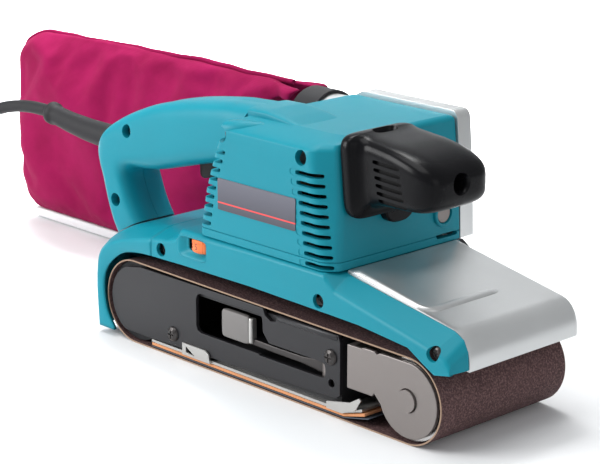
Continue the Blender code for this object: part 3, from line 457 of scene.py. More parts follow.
# ---- Castings and pressings: each is the frame's own solid, with its facets joined and edges rounded
# as a die-cast or stamped part has them: frame, gear case, belt cover, dust spout, yoke and side plate.
def softened(node, width, material, slot, segments=2, angle=30):
    """A merged copy of a frame node, its flat facets joined and its edges rounded over by width mm."""
    mesh = frame["nodes"][node].data.copy()
    mesh.name = node + "_body"
    cleaner = bmesh.new()
    cleaner.from_mesh(mesh)
    bmesh.ops.remove_doubles(cleaner, verts=cleaner.verts, dist=2e-6)
    bmesh.ops.dissolve_limit(cleaner, angle_limit=math.radians(1.0), verts=cleaner.verts,
                             edges=cleaner.edges)
    cleaner.to_mesh(mesh)
    cleaner.free()
    piece = bpy.data.objects.new(node + "_body", mesh)
    scene.collection.objects.link(piece)
    mesh.shade_smooth()
    mesh.set_sharp_from_angle(angle=math.radians(angle))
    rounded = piece.modifiers.new("rounded", "BEVEL")
    rounded.width = width * MM
    rounded.segments = segments
    rounded.limit_method = "ANGLE"
    rounded.angle_limit = math.radians(angle)
    rounded.harden_normals = True
    return finish_piece(piece, body_of[node], material, slot, node)


softened("main_frame", 0.6, dark_casting, "frame")
softened("gear_case", 1.6, silver_paint, "silver", 3)
softened("belt_cover", 1.4, silver_paint, "silver")
softened("dust_spout", 1.2, silver_paint, "silver")
softened("side_plate", 0.45, plate_paint, "plate")
softened("roller_yoke", 0.5, worn_steel, "steel")


# ---- Tension lever: a pressed steel arm on a pin in the frame, with a grey moulded thumb pad.
# It lies flat in the side plate's window and swings out to slacken the belt.
PIVOT_X, PIVOT_Y = 48.0, -43.0
UNIT_X, UNIT_Y, UNIT_Z = (1, 0, 0), (0, 1, 0), (0, 0, 1)
lever_grey = grained("lever_grey", (0.185, 0.175, 0.17), 0.46, 0.25, bump=0.3, grain_scale=1300.0)
pad_sizes = ((-46.8, 11.4, 8.4), (-48.6, 11.6, 8.5), (-49.3, 11.2, 8.1), (-49.5, 10.2, 7.2))
thumb_pad = loft("lever_pad", [((-23.2, y, 32.2), UNIT_X, UNIT_Z, a, b, 9) for y, a, b in pad_sizes])
finish_piece(thumb_pad, body_of["tension_lever"], lever_grey, "steel")
flange_sizes = ((-12.4, -47.2, 1.9), (-10.6, -46.6, 2.2), (-9.9, -46.2, 1.6))
flange = loft("lever_flange", [((x, y, 32.0), UNIT_Y, UNIT_Z, a, 7.6, 6) for x, y, a in flange_sizes])
finish_piece(flange, body_of["tension_lever"], zinc_steel, "steel")
arm_way = [(-24, -46.2, 25.6, 1.7), (-12, -46.0, 25.3, 1.87), (8, -45.9, 25.0, 1.87),
           (30, -45.7, 24.9, 2.04), (41, -45.4, 24.8, 3.23), (46, -44.8, 24.8, 4.42),
           (49, -44.0, 24.8, 4.08)]
arm_bar = loft("lever_arm", [((x, y, z), UNIT_Y, UNIT_Z, 0.9, tall, 5) for x, y, z, tall in arm_way])
finish_piece(arm_bar, body_of["tension_lever"], dark_steel, "steel", "tension_lever")
eye = loft("lever_eye", [((PIVOT_X, PIVOT_Y, z), UNIT_X, UNIT_Y, r, r, 2)
                         for z, r in ((18.5, 3.6), (18.9, 4.0), (30.6, 4.0), (31.0, 3.6))])
finish_piece(eye, body_of["tension_lever"], worn_steel, "steel")


# ---- Side plate's rolled edge, tracking knob and the side plate's two screws.
# The plate's upper edge is rolled over in front of the window to stiffen it.
rolled = loft("plate_roll", [((x, -49.1, 46.0), UNIT_Y, UNIT_Z, r, r * 1.15, 2.4)
                             for x, r in ((13.4, 1.2), (14.0, 1.6), (60.5, 1.6), (61.2, 1.2))])
finish_piece(rolled, "body", plate_paint, "plate")
softened("tracking_knob", 0.8, black_moulding, "black")
softened("side_screw_rear", 0.15, dark_steel, "steel")
softened("side_screw_front", 0.15, dark_steel, "steel")


# ---- Sole under the belt: graphite cloth on an orange cork pad, below a spring steel plate.
# The plate is pressed with two hooks at the near side that hold the cloth.
cork = grained("cork", (0.62, 0.27, 0.12), 0.85, bump=0.8, depth=0.0003, grain_scale=500.0, drift_by=0.35)
graphite_cloth = grained("graphite_cloth", (0.06, 0.075, 0.10), 0.6, bump=0.6, depth=0.0001,
                         grain_scale=1500.0)
softened("sole_plate", 0.3, zinc_steel, "steel")
softened("cork_pad", 0.3, cork, "cork")
softened("graphite_sheet", 0.15, graphite_cloth, "graphite")


# ---- Sanding belt: brown aluminium oxide grit on cloth, run round both rollers, 100 mm wide.
# Its cloth back and cut edges are a pale tan.
def belt_path(inset, steps=56):
    """Two arcs and the straight runs between them: circles round both roller centres, less inset."""
    rear_x, rear_r, nose_x, nose_r = -113.5, 26.0, 113.5, 24.5
    lean = np.arctan2(rear_r - nose_r, nose_x - rear_x)
    nose = np.linspace(-np.pi / 2, np.pi / 2 - 2 * lean, steps)
    rear = np.linspace(np.pi / 2 - 2 * lean, 3 * np.pi / 2, steps)
    along = np.linspace(0, 1, 30)[1:-1]
    nose_turn = np.stack([np.cos(nose), np.sin(nose)], 1)
    rear_turn = np.stack([np.cos(rear), np.sin(rear)], 1)
    loop_nose = np.array([nose_x, nose_r]) + (nose_r - inset) * nose_turn
    loop_rear = np.array([rear_x, rear_r]) + (rear_r - inset) * rear_turn
    over = loop_nose[-1] + along[:, None] * (loop_rear[0] - loop_nose[-1])
    under = loop_rear[-1] + along[:, None] * (loop_nose[0] - loop_rear[-1])
    return np.vstack([loop_nose, over, loop_rear, under])


def at_y(path, y):
    """Points of a path in X and Z, set at one Y."""
    return np.stack([path[:, 0], np.full(len(path), float(y)), path[:, 1]], 1)


grit, grit_shader = new_material("grit", (0.1, 0.05, 0.05), 0.85)
tree = grit.node_tree
point = object_point(tree)
grains = tree.nodes.new("ShaderNodeTexVoronoi")
grains.inputs["Scale"].default_value = 1500.0
tree.links.new(point, grains.inputs["Vector"])
tone = add_noise(tree, point, 900.0, 3.0, 0.7)
dull = add_mix(tree, add_ramp(tree, tone, 0.44, 0.66), (0.040, 0.014, 0.016), (0.185, 0.100, 0.096))
worn = add_mix(tree, add_ramp(tree, add_noise(tree, point, 14.0, 3.0, 0.5), 0.3, 0.75, 0.0, 0.25), dull,
               (0.12, 0.062, 0.06))
split = tree.nodes.new("ShaderNodeSeparateXYZ")
tree.links.new(point, split.inputs[0])
edge = add_ramp(tree, add_math(tree, "ABSOLUTE", split.outputs["Y"]), 0.0496, 0.0499)
tree.links.new(add_mix(tree, edge, worn, (0.34, 0.23, 0.16)), grit_shader.inputs["Base Color"])
relief = tree.nodes.new("ShaderNodeBump")
relief.inputs["Strength"].default_value = 0.8
relief.inputs["Distance"].default_value = 0.00025
tree.links.new(grains.outputs["Distance"], relief.inputs["Height"])
tree.links.new(relief.outputs["Normal"], grit_shader.inputs["Normal"])
BELT_T, BELT_HALF, CUT_EDGE = 0.85, 50.0, 0.3
outer, inner = belt_path(0), belt_path(BELT_T)
belt = surface("sanding_belt", [at_y(outer, -BELT_HALF), at_y(outer, CUT_EDGE - BELT_HALF),
                                at_y(outer, BELT_HALF - CUT_EDGE), at_y(outer, BELT_HALF),
                                at_y(inner, BELT_HALF), at_y(inner, -BELT_HALF),
                                at_y(outer, -BELT_HALF)], wrap=True)
finish_piece(belt, "body", grit, "abrasive", "abrasive_belt")


# ---- Base housing and rear cover: two glass-filled nylon mouldings over the belt, screwed to the
# frame.  Each is a 2.4 mm shell: up the near side, over a rounded shoulder and across the roof.
def fair_normals(piece):
    """Let big flat faces set the shading at their rounded edges."""
    piece.modifiers.new("fair", "WEIGHTED_NORMAL").keep_sharp = True
    return piece


def carve(piece, *cutters, folded=False):
    """Cut closed pieces out of a closed piece, which may be folded; the cutters are used up."""
    for cutter in cutters:
        cut = piece.modifiers.new("cut", "BOOLEAN")
        cut.solver = "EXACT"
        cut.use_self = folded
        cut.object = cutter
    bpy.context.view_layer.update()
    cut_mesh = bpy.data.meshes.new_from_object(piece.evaluated_get(bpy.context.evaluated_depsgraph_get()))
    piece.modifiers.clear()
    piece.data = cut_mesh
    for cutter in cutters:
        bpy.data.objects.remove(cutter, do_unlink=True)
    cut_mesh.shade_smooth()
    cut_mesh.set_sharp_from_angle(angle=math.radians(35))
    return piece


def eased_corner(before, here, after, reach, steps=7):
    """Points that round a corner at every station: a parabola between two points on its sides."""
    back, ahead = before - here, after - here
    back_run = np.linalg.norm(back, axis=1)[:, None]
    ahead_run = np.linalg.norm(ahead, axis=1)[:, None]
    reach = np.minimum(reach, 0.47 * np.minimum(back_run, ahead_run))
    t = np.linspace(0, 1, steps)[:, None, None]
    return here + reach * (back / back_run * (1 - t) ** 2 + ahead / ahead_run * t ** 2)


def casing(name, stations, steps, eased_stations):
    """Shell from stations (foot x, z, side top x, z, roof x, z, shoulder width, far y): the side wall,
    a rounded shoulder and the roof, ruled from station to station or faired through them."""
    stations = np.asarray(stations, float)
    if eased_stations:
        run = catmull(stations, steps)
    else:
        at = np.linspace(0, len(stations) - 1, (len(stations) - 1) * steps + 1)
        run = np.stack([np.interp(at, np.arange(len(stations)), column) for column in stations.T], 1)
    near = np.full(len(run), -53.0)
    foot = np.stack([run[:, 0], near, run[:, 1]], 1)
    side_top = np.stack([run[:, 2], near, run[:, 3]], 1)
    roof_near = np.stack([run[:, 4], near + run[:, 6], run[:, 5]], 1)
    roof_far = np.stack([run[:, 4], run[:, 7], run[:, 5]], 1)
    columns = np.concatenate([foot[None], eased_corner(foot, side_top, roof_near, 2.6),
                              eased_corner(side_top, roof_near, roof_far, 5.0), roof_far[None]])
    piece = surface(name, columns, facing=(0, -1, 0), crease=30)
    skin = piece.modifiers.new("skin", "SOLIDIFY")
    skin.thickness = 2.4 * MM
    skin.offset = -1
    return piece


def round_cutter(name, spots, radius, y0, y1):
    """Closed round bars along Y at (x, z) spots."""
    ring = superellipse(28, radius, radius, 2.0)
    disc = np.stack([ring[:, 0], np.zeros(28), ring[:, 1]], 1)
    spots = np.array([(x, 0, z) for x, z in spots], float)
    grids = spots[:, None, None] + np.stack([disc + [0, y0, 0], disc + [0, y1, 0]])[None]
    return surface(name, grids, wrap=True, caps=True)


ROOF_FAR, SEAT = 50.6, -39.9
base_stations = [(-92.7, 59.9, -92.7, 70.2, -92.7, 75.6, 16, ROOF_FAR),
                 (-80, 60.1, -80, 71.9, -80, 76.0, 14, ROOF_FAR),
                 (-71, 60.3, -71, 74.0, -71.4, 79.6, 9, ROOF_FAR),
                 (-67, 60.4, -67, 78.6, -67.4, 81.2, 2.6, ROOF_FAR),
                 (-6.7, 60.8, -6.7, 79.6, -6.7, 81.4, 1.8, ROOF_FAR),
                 (52, 59.6, 52, 79.6, 52, 81.4, 1.8, ROOF_FAR),
                 (57.5, 59.5, 57.5, 75.6, 57.8, 80.4, 9, ROOF_FAR),
                 (61, 59.4, 61, 72.9, 61, 79.7, 12.2, SEAT),
                 (80, 58.9, 80, 68.8, 80, 76.2, 12.6, SEAT),
                 (116, 55.4, 117, 60.9, 118, 69.9, 13, SEAT),
                 (127, 49.2, 134, 57.0, 137, 66.6, 13, SEAT),
                 (135, 45.1, 141.2, 53.6, 143.6, 63.2, 13, SEAT),
                 (141, 46.3, 144.6, 50.6, 146.6, 57.4, 12.6, SEAT),
                 (146, 47.3, 145.6, 47.7, 147.3, 47.8, 12, SEAT)]
base_screws = [(-84.0, 65.6), (49.0, 65.0), (133.4, 55.9)]
DISH_X, DISH_Z, DISH_HALF_X, DISH_HALF_Z = -55.8, 72.2, 12.6, 6.6
dial_window = loft("dial_window", [((DISH_X, y, DISH_Z), UNIT_X, UNIT_Z, DISH_HALF_X, DISH_HALF_Z, 5)
                                   for y in (-58, -47)])
base_shell = carve(casing("base_shell", base_stations, 4, False), dial_window,
                   round_cutter("base_wells", base_screws, 4.1, -60, -47), folded=True)
finish_piece(fair_normals(base_shell), "body", teal_nylon, "teal", "base_housing")
rear_stations = [(-130.5, 4.6, -145.2, 4.6, -147.2, 4.6, 2.6, ROOF_FAR),
                 (-137.6, 15, -146.0, 17, -148.0, 17, 2.6, ROOF_FAR),
                 (-140.2, 27, -146.6, 31, -148.5, 32, 3.2, ROOF_FAR),
                 (-139.3, 37.5, -146.0, 42, -148.2, 45, 5, ROOF_FAR),
                 (-135.5, 44.5, -144.3, 49.2, -146.8, 54, 8, ROOF_FAR),
                 (-129.8, 50, -140.6, 54.6, -143, 60.4, 12, ROOF_FAR),
                 (-122.5, 54.8, -134, 58.8, -136, 65.2, 15, ROOF_FAR),
                 (-114.5, 57.6, -125, 62.4, -127, 69, 16.5, ROOF_FAR),
                 (-104, 59.2, -110, 66.6, -111, 72.4, 17, ROOF_FAR),
                 (-93.2, 59.9, -93.2, 70.1, -93.2, 75.5, 16, ROOF_FAR)]
rear_shell = casing("rear_shell", rear_stations, 6, True)
finish_piece(fair_normals(rear_shell), "body", teal_nylon, "teal", "rear_cover")

# The dish round the dial sinks to the wheel's window.
dish_rings = []
for t in np.linspace(0, 1, 9):
    ease = t * t * (3 - 2 * t)
    ring = superellipse(56, DISH_HALF_X - 3.4 * t, DISH_HALF_Z - 2.2 * t, 5)
    dish_rings.append(np.stack([DISH_X + 3.6 * t + ring[:, 0], np.full(56, -52.9 + 2.9 * ease),
                                DISH_Z + 2.1 * t + ring[:, 1]], 1))
dish = surface("dial_dish", dish_rings, wrap=True, crease=60)
dish_wall = dish.modifiers.new("wall", "SOLIDIFY")
dish_wall.thickness = 1.0 * MM
dish_wall.offset = 0
finish_piece(dish, "body", teal_nylon, "teal")


# ---- Front cover: painted die-cast plate over the nose, bent down in front and closed on the far side.
# A raised rib follows its near edge and turns across the plate.
def rounded_line(corners, radii, steps=8):
    """Open line with its corners rounded: each corner is a parabola between two points on its sides."""
    corners = np.asarray(corners, float)
    line = [corners[:1]]
    for k, radius in enumerate(radii, 1):
        back, ahead = corners[k - 1] - corners[k], corners[k + 1] - corners[k]
        back, ahead = back / np.linalg.norm(back), ahead / np.linalg.norm(ahead)
        t = np.linspace(0, 1, steps)[:, None]
        line.append(corners[k] + radius * (back * (1 - t) ** 2 + ahead * t ** 2))
    return np.vstack(line + [corners[-1:]])


def evenly(line, count):
    """The line's points at even steps of its length."""
    run = np.concatenate([[0], np.cumsum(np.linalg.norm(np.diff(line, axis=0), axis=1))])
    at = np.linspace(0, run[-1], count)
    return np.stack([np.interp(at, run, line[:, k]) for k in range(line.shape[1])], 1)


def outward(line):
    """Unit normals of an open line in XZ, to the left of its way."""
    way = np.gradient(line, axis=0)
    way /= np.linalg.norm(way, axis=1)[:, None]
    return np.stack([-way[:, 1], way[:, 0]], 1)


plate_corners = [(58.4, 81.9), (142.0, 65.9), (147.5, 55.0), (147.4, 46.5)]
plate_line = evenly(rounded_line(plate_corners, (7.5, 4.4)), 60)
plate_out = outward(plate_line)
wall_foot = evenly(rounded_line([(71, 66), (74, 56), (110, 51), (141.3, 46.4)], (2.5, 8)), 60)
COVER_NEAR, COVER_FAR, COVER_ROUND = -39.6, 51.1, 6.0
rows = [at_y(plate_line, y) for y in np.linspace(COVER_NEAR, COVER_FAR - COVER_ROUND, 12)]
for turn in np.linspace(0, 1, 9)[1:]:
    angle = turn * np.pi / 2
    rows.append(at_y(plate_line - plate_out * COVER_ROUND * (1 - math.cos(angle)),
                     COVER_FAR - COVER_ROUND + COVER_ROUND * math.sin(angle)))
brow = plate_line - plate_out * COVER_ROUND
rows += [at_y(brow + (wall_foot - brow) * t, COVER_FAR) for t in (0.25, 0.5, 0.75, 1.0)]
front_plate = surface("front_plate", rows, facing=(0, 0, 1))
wall = front_plate.modifiers.new("wall", "SOLIDIFY")
wall.thickness = 2.6 * MM
wall.offset = -1
eased = front_plate.modifiers.new("eased", "BEVEL")
eased.width = 0.7 * MM
eased.segments = 2
eased.angle_limit = math.radians(50)
finish_piece(front_plate, "body", silver_paint, "silver", "front_cover")


def plate_height(x):
    """Height of the plate's flat top at X."""
    return np.interp(x, plate_line[:40, 0], plate_line[:40, 1])


rib_plan = evenly(rounded_line([(59, -36.4), (114.6, -36.4), (114.6, 17.5)], (7,)), 60)
rib_rise = 2.0 * np.clip(np.minimum(np.arange(60), np.arange(60)[::-1]) / 3, 0.15, 1)
rib_rise = rib_rise * np.interp(rib_plan[:, 1], (-34, -26), (1.0, 0.62))
rib_side = np.gradient(rib_plan, axis=0)
rib_side = np.stack([-rib_side[:, 1], rib_side[:, 0]], 1) / np.linalg.norm(rib_side, axis=1)[:, None]
across = np.linspace(-1, 1, 13)[None, :]
crown = (1 - np.abs(across) ** 3) * rib_rise[:, None]
RIB_HALF = 2.9
rib_x = rib_plan[:, :1] + rib_side[:, :1] * across * RIB_HALF
rib_y = rib_plan[:, 1:] + rib_side[:, 1:] * across * RIB_HALF
RIB_SUNK = 0.15
rib_top = np.stack([rib_x, rib_y, plate_height(rib_x) - RIB_SUNK + crown], -1)
rib = surface("cover_rib", rib_top, facing=(0, 0, 1))
rib_base = rib.modifiers.new("base", "SOLIDIFY")
rib_base.thickness = 0.8 * MM
rib_base.offset = -1
finish_piece(rib, "body", silver_paint, "silver")


# ---- Motor housing: the teal nylon shell round the motor, with a bevelled front corner and sloping
# shoulders.  Cooling slots are moulded through its front corner and its rear edge.
def rounded_rings(corners, radii, steps=7):
    """Rings from corner points, (rings, corners, 2): each corner is a parabola of its own radius."""
    back = np.roll(corners, 1, 1) - corners
    ahead = np.roll(corners, -1, 1) - corners
    back /= np.linalg.norm(back, axis=2)[..., None]
    ahead /= np.linalg.norm(ahead, axis=2)[..., None]
    t = np.linspace(0, 1, steps)[None, None, :, None]
    reach = np.asarray(radii, float)[None, :, None, None]
    bent = corners[:, :, None] + reach * (back[:, :, None] * (1 - t) ** 2 + ahead[:, :, None] * t ** 2)
    return bent.reshape(len(corners), -1, 2)


rear_line = np.array([(81, -50.6), (87, -50.5), (94, -49), (109, -46), (121, -42), (134, -37),
                      (150.6, -29.5), (154, -28.2)])


def rear_x(z):
    """X of the housing's rear wall at a height."""
    return np.interp(z, rear_line[:, 0], rear_line[:, 1])


def housing_corners(z, inset, far, slope_from=147.6):
    """Corners of level sections: rear far, rear near, two of the bevel, front far, all less the inset."""
    near = -52 + inset + 3.1 * 0.9 * np.log1p(np.exp((z - slope_from) / 0.9))
    front = np.interp(z, (81, 115, 153), (58, 56, 52)) - inset
    rear = rear_x(z) + inset
    bevel = 41 + 0.158 * (148 - z) - inset * 0.42
    corner = -52 + (12 * (front + inset - 41) + 1.9 * (z - 148)) / 12.5 + inset * 0.5
    corner = np.maximum(corner, near + 3)
    bevel = np.minimum(bevel, front - 4)
    far = np.full_like(z, far) - inset * (far < 55)
    return np.stack([np.stack([rear, far], 1), np.stack([rear, near], 1), np.stack([bevel, near], 1),
                     np.stack([front, corner], 1), np.stack([front, far], 1)], 1)


def level_rings(corners, radii, z):
    """Rounded rings lifted to their heights."""
    rings = rounded_rings(corners, radii)
    return np.concatenate([rings, np.broadcast_to(z[:, None, None], rings.shape[:2] + (1,))], 2)


HOUSING_TOP, TOP_ROUND = 153.0, 3.5
skin_z = np.concatenate([[81.8, 82.3, 86.4, 86.55, 87.05, 87.2], np.linspace(90, 146, 12),
                         np.linspace(146.5, 152.98, 18), [HOUSING_TOP]])
skin_inset = np.interp(skin_z, (81.8, 82.3, 86.4, 86.55, 87.05, 87.2), (0.5, 0, 0, 0.55, 0.55, 0))
skin_inset += TOP_ROUND - np.sqrt(TOP_ROUND ** 2 - np.clip(skin_z - HOUSING_TOP + TOP_ROUND, 0, 3.45) ** 2)
skin_corners = housing_corners(skin_z, skin_inset, 50.8)
shell = surface("housing_shell", level_rings(skin_corners, (1.5, 5, 3.5, 3.5, 1.5), skin_z), wrap=True,
                caps=True)
room_z = np.array([76, 81.8, 90, 100, 110, 120, 130, 140, 145, 148.5, 149.6])
room_inset = np.array([3.2, 3.2, 3.2, 3.2, 3.2, 3.2, 3.2, 3.2, 3.3, 4.5, 6.5])
room_grid = level_rings(housing_corners(room_z, room_inset, 60.0, 144.5), (1, 3, 2.5, 2.5, 1), room_z)


def pill_cutters(name, centres, half_a, half_b, along, side, up, reach):
    """Closed pills: superellipse sections in the side-up plane, pushed both ways along the third axis."""
    ring = superellipse(20, half_a, half_b, 5.0)
    flat = ring[:, :1] * np.asarray(side) + ring[:, 1:] * np.asarray(up)
    ends = np.asarray(along) * reach
    grids = np.asarray(centres, float)[:, None, None] + np.stack([flat - ends, flat + ends])[None]
    return surface(name, grids, wrap=True, caps=True)


slot_z = 83.9 + 5.5 * np.arange(10)
slot_x = 41 + 0.158 * (148 - slot_z) - 4.5
slots = pill_cutters("slots_front", np.stack([slot_x, np.full(10, -50.5), slot_z], 1), 9.2, 1.35, (0, 1, 0),
                     (1, 0, 0), (0, 0, 1), 7.5)
comb_z = 90.2 + 5.45 * np.arange(9)
combs = pill_cutters("slots_rear", [(rear_x(z) + 1.6, -51.5, z) for z in comb_z], 8.2, 1.4, (0, 1, 0),
                     (1, 0, 0), (0, 0, 1), 6.2)
frames = pill_cutters("slot_frames", np.stack([slot_x - 6.6, np.full(10, -53.0), slot_z], 1), 6.6, 1.9,
                      (0, 1, 0), (1, 0, 0), (0, 0, 1), 1.25)
nose_slot = pill_cutters("nose_slot", [(57, 39.5, 86.0)], 8.5, 1.3, (1, 0, 0), (0, 1, 0), (0, 0, 1), 6)


housing_screws = [(-31.0, 143.6), (34.0, 142.0)]
carve(shell, surface("room", room_grid, wrap=True, caps=True), slots, combs, frames, nose_slot,
      round_cutter("wells", housing_screws, 4.4, -60, -46))
finish_piece(fair_normals(shell), "body", teal_nylon, "teal", "motor_housing")

# A low fairing carries the handle onto the roof.
ridge_x = np.linspace(-28.6, 17, 24)
ridge_top = np.interp(ridge_x, (-28.6, -14, 2, 12, 17), (156.9, 157.3, 155.4, 153.3, 152.0))
ridge_fair = loft("handle_root", [((x, -17, (z + 148) / 2), (0, 1, 0), (0, 0, 1), 16.6, (z - 148) / 2, 5)
                                  for x, z in zip(ridge_x, ridge_top)])
finish_piece(ridge_fair, "body", teal_nylon, "teal")
lug_sizes = [(-33.6, -45.6, 143.5, 0.8, 3.0), (-33.0, -45.4, 144.2, 4.6, 5.6),
             (-31, -45.0, 144.6, 6.6, 6.6), (-25, -43.6, 144.9, 7.6, 7.1),
             (-18, -41.0, 145.2, 7.2, 7.0), (-12, -38.6, 145.4, 5.4, 6.6),
             (-8, -37.0, 145.6, 3.0, 6.2), (-5, -36.0, 145.8, 0.8, 5.9)]
lug = loft("corner_lug", [((x, y, z), UNIT_Y, UNIT_Z, a, b, 2.6) for x, y, z, a, b in lug_sizes])
carve(lug, round_cutter("lug_well", housing_screws[:1], 4.4, -60, -46))
finish_piece(fair_normals(lug), "body", teal_nylon, "teal")
BRUSH_Y, BRUSH_Z = 36.5, 99.0
boss_profile = ((54, 7.6), (58.2, 7.6), (58.7, 7.1), (58.7, 5.9), (57.2, 5.7), (54, 5.7))
boss = loft("brush_boss", [((x, BRUSH_Y, BRUSH_Z), UNIT_Y, UNIT_Z, r, r, 2) for x, r in boss_profile])
finish_piece(boss, "body", teal_nylon, "teal")
boss_screw = loft("brush_cap", [((x, BRUSH_Y, BRUSH_Z), UNIT_Y, UNIT_Z, r, r, 2)
                                for x, r in ((55, 5.5), (57.4, 5.4), (57.9, 4.9))])
finish_piece(boss_screw, "body", worn_steel, "steel")
under_cap = loft("switch_cap", [((x, -2.0, 110.6), UNIT_Y, UNIT_Z, r, r * 0.72, 2.4)
                                for x, r in ((54, 11.5), (60.4, 11.3), (61.4, 10.2))])
finish_piece(under_cap, "body", black_moulding, "black")


# ---- Label: printed foil on the near side, dark grey with one thin red line, no lettering.
label_foil, label_shader = new_material("label_foil", (0.14, 0.14, 0.17), 0.32, 0.35)
tree = label_foil.node_tree
point = object_point(tree)
split = tree.nodes.new("ShaderNodeSeparateXYZ")
tree.links.new(point, split.inputs[0])
# The foil's grey lightens from the label's foot to its top, a ramp in height.
label_height_ramp = add_ramp(tree, split.outputs["Z"], 0.100, 0.1186)
grey = add_mix(tree, label_height_ramp, (0.060, 0.060, 0.078), (0.125, 0.125, 0.155))
from_line = add_math(tree, "ABSOLUTE", add_math(tree, "SUBTRACT", split.outputs["Z"], 0.1046))
line_mask = add_ramp(tree, from_line, 0.00035, 0.0005, 1.0, 0.0)
tree.links.new(add_mix(tree, line_mask, grey, (0.75, 0.06, 0.06)), label_shader.inputs["Base Color"])
label = loft("side_label", [((-1.6, y, 109.4), (1, 0, 0), (0, 0, 1), 31.9 - e, 9.2 - e, 40)
                            for y, e in ((-51.9, 0), (-52.35, 0), (-52.45, 0.12))])
finish_piece(fair_normals(label), "body", label_foil, "label", "name_plate")


# ---- Handle: two nylon half shells screwed together, one loop from the roof down to the rear cover.
# The halves meet in a fine line; two screws sit in wells on the near side.
over_line = [(-29.2, 157.0), (-42, 156.3), (-54.7, 155.4), (-81.1, 151.8), (-99.3, 148.3), (-117.8, 143.6),
             (-136.9, 136.6), (-151, 129.9), (-161.8, 123.4), (-168.2, 117.2), (-170.6, 110), (-169.2, 102),
             (-165.9, 93), (-161.6, 78), (-156.8, 65.5), (-152, 57.4)]
under_line = [(-44.5, 114.2), (-47.5, 115.0), (-53, 118.6), (-68.9, 115.6), (-93.4, 109.1), (-113, 103.9),
              (-126, 101.8), (-135.5, 101.4), (-140.5, 100.2), (-142.8, 97.5), (-143.0, 94.6),
              (-142.4, 92.0), (-141.0, 88.5), (-137.5, 81), (-133.0, 74), (-129.6, 69.4)]
over_line, under_line = catmull(over_line, 6), catmull(under_line, 6)
HANDLE_SEAM = -17.0


def handle_half(name, edge_y, hand):
    """Half sections |y|^p + |h|^p = 1 between the loop's outer and inner lines, flat at the seam."""
    turn = np.linspace(-np.pi / 2, np.pi / 2, 33)
    seam_groove = 1 - 0.022 * np.exp(-(np.cos(turn) / 0.12) ** 2)
    height = np.sign(np.sin(turn)) * np.abs(np.sin(turn)) ** (2 / 3.6) * seam_groove
    width = np.abs(np.cos(turn)) ** (2 / 3.6)
    middle, half = (over_line + under_line) / 2, (over_line - under_line) / 2
    start = HANDLE_SEAM + hand * 0.12
    y = start + (edge_y - start) * width
    x = middle[:, :1] + half[:, :1] * height[None, :]
    z = middle[:, 1:] + half[:, 1:] * height[None, :]
    return surface(name, np.stack([x, np.broadcast_to(y, x.shape), z], -1), wrap=True, caps=True)


handle_screws = [(-137.0, 125.0), (-149.0, 80.0)]
near_half = carve(handle_half("handle_near", -35.0, -1),
                  round_cutter("handle_wells", handle_screws, 4.2, -40, -28.5))
far_half = handle_half("handle_far", 0.0, 1)
finish_piece(fair_normals(near_half), "body", teal_nylon, "teal", "handle_right")
finish_piece(fair_normals(far_half), "body", teal_nylon, "teal", "handle_left")
softened("trigger", 0.5, black_moulding, "black")
softened("lock_button", 0.3, black_moulding, "black")


# ---- Casing screws: pan heads with a cross recess, one in each well; the frame's nose screw is hidden.
def pan_heads(name, spots):
    """Domed discs along -Y at (x, y, z) spots: each is a profile of radius and height turned once."""
    profile = np.array([(0.01, -1.5), (1.6, -1.4), (2.7, -1.0), (3.4, -0.3), (3.5, 0.4), (3.5, 1.2),
                        (0.01, 1.2)])
    angle = np.linspace(0, 2 * np.pi, 24, endpoint=False)
    x = profile[:, :1] * np.cos(angle)
    z = profile[:, :1] * np.sin(angle)
    y = np.broadcast_to(profile[:, 1:], x.shape)
    head = np.stack([x, y, z], -1)
    heads = surface(name, np.asarray(spots, float)[:, None, None] + head[None], wrap=True, caps=True)
    cross = []
    for wide, tall in ((2.0, 0.42), (0.42, 2.0)):
        ring = np.array([(-wide, -tall), (wide, -tall), (wide, tall), (-wide, tall)])
        box = np.stack([np.stack([ring[:, 0], np.full(4, y - wide * 0.1), ring[:, 1]], 1)
                        for y in (-2.2, -0.5)])
        cross.append(surface(f"{name}_cross", np.asarray(spots, float)[:, None, None] + box[None],
                             wrap=True, caps=True))
    return carve(heads, *cross)


well_spots = [(x, -45.2, z) for x, z in housing_screws] + [(x, -29.6, z) for x, z in handle_screws]
well_spots += [(x, -48.6, z) for x, z in base_screws]
finish_piece(pan_heads("casing_screws", well_spots), "body", dark_steel, "steel", "nose_screw")


# ---- Front grip: one black moulding bolted to the housing through the hole in its nose.
# A flange runs into the palm through a cove; ribs on the near side stop the hand slipping.
grip_stations = catmull([(52.7, 154.2, 112.0, -40.0, 10.8, 7), (53.0, 155.8, 110.8, -41.6, 12.2, 7),
                         (55.6, 156.4, 110.2, -42.2, 12.6, 7), (58.6, 156.4, 110.4, -41.8, 12.5, 7),
                         (60.4, 156.0, 111.8, -39.8, 12.2, 6.6), (62.4, 155.6, 114.4, -37.4, 12.0, 6.2),
                         (66, 155.1, 116.8, -36.0, 12.0, 5.8), (74, 154.4, 118.6, -36.4, 12.1, 5.6),
                         (86, 153.2, 119.4, -37.4, 12.2, 5.4), (96, 151.2, 119.8, -37.8, 12.2, 5.2),
                         (104, 148.8, 120.4, -37.4, 11.8, 5), (110, 146.0, 122.0, -35.8, 10.4, 4.8),
                         (113.8, 142.9, 124.6, -32.8, 7.6, 4.4), (115.6, 139.6, 128.2, -28.0, 2.6, 4),
                         (116.0, 137.2, 131.4, -21.0, -5.0, 3.4)], 5)
HANDED_LEAN = 4.8
grip_rings = []
for x, high, low, near, far, power in grip_stations:
    ring = superellipse(72, (far - near) / 2, (high - low) / 2, power)
    z = (high + low) / 2 + ring[:, 1]
    lean = HANDED_LEAN * (156 - z) / 46 * np.clip((80 - x) / 22, 0, 1)
    grip_rings.append(np.stack([x + lean, (near + far) / 2 + ring[:, 0], z], 1))
grip = surface("palm_grip", grip_rings, wrap=True, caps=True)
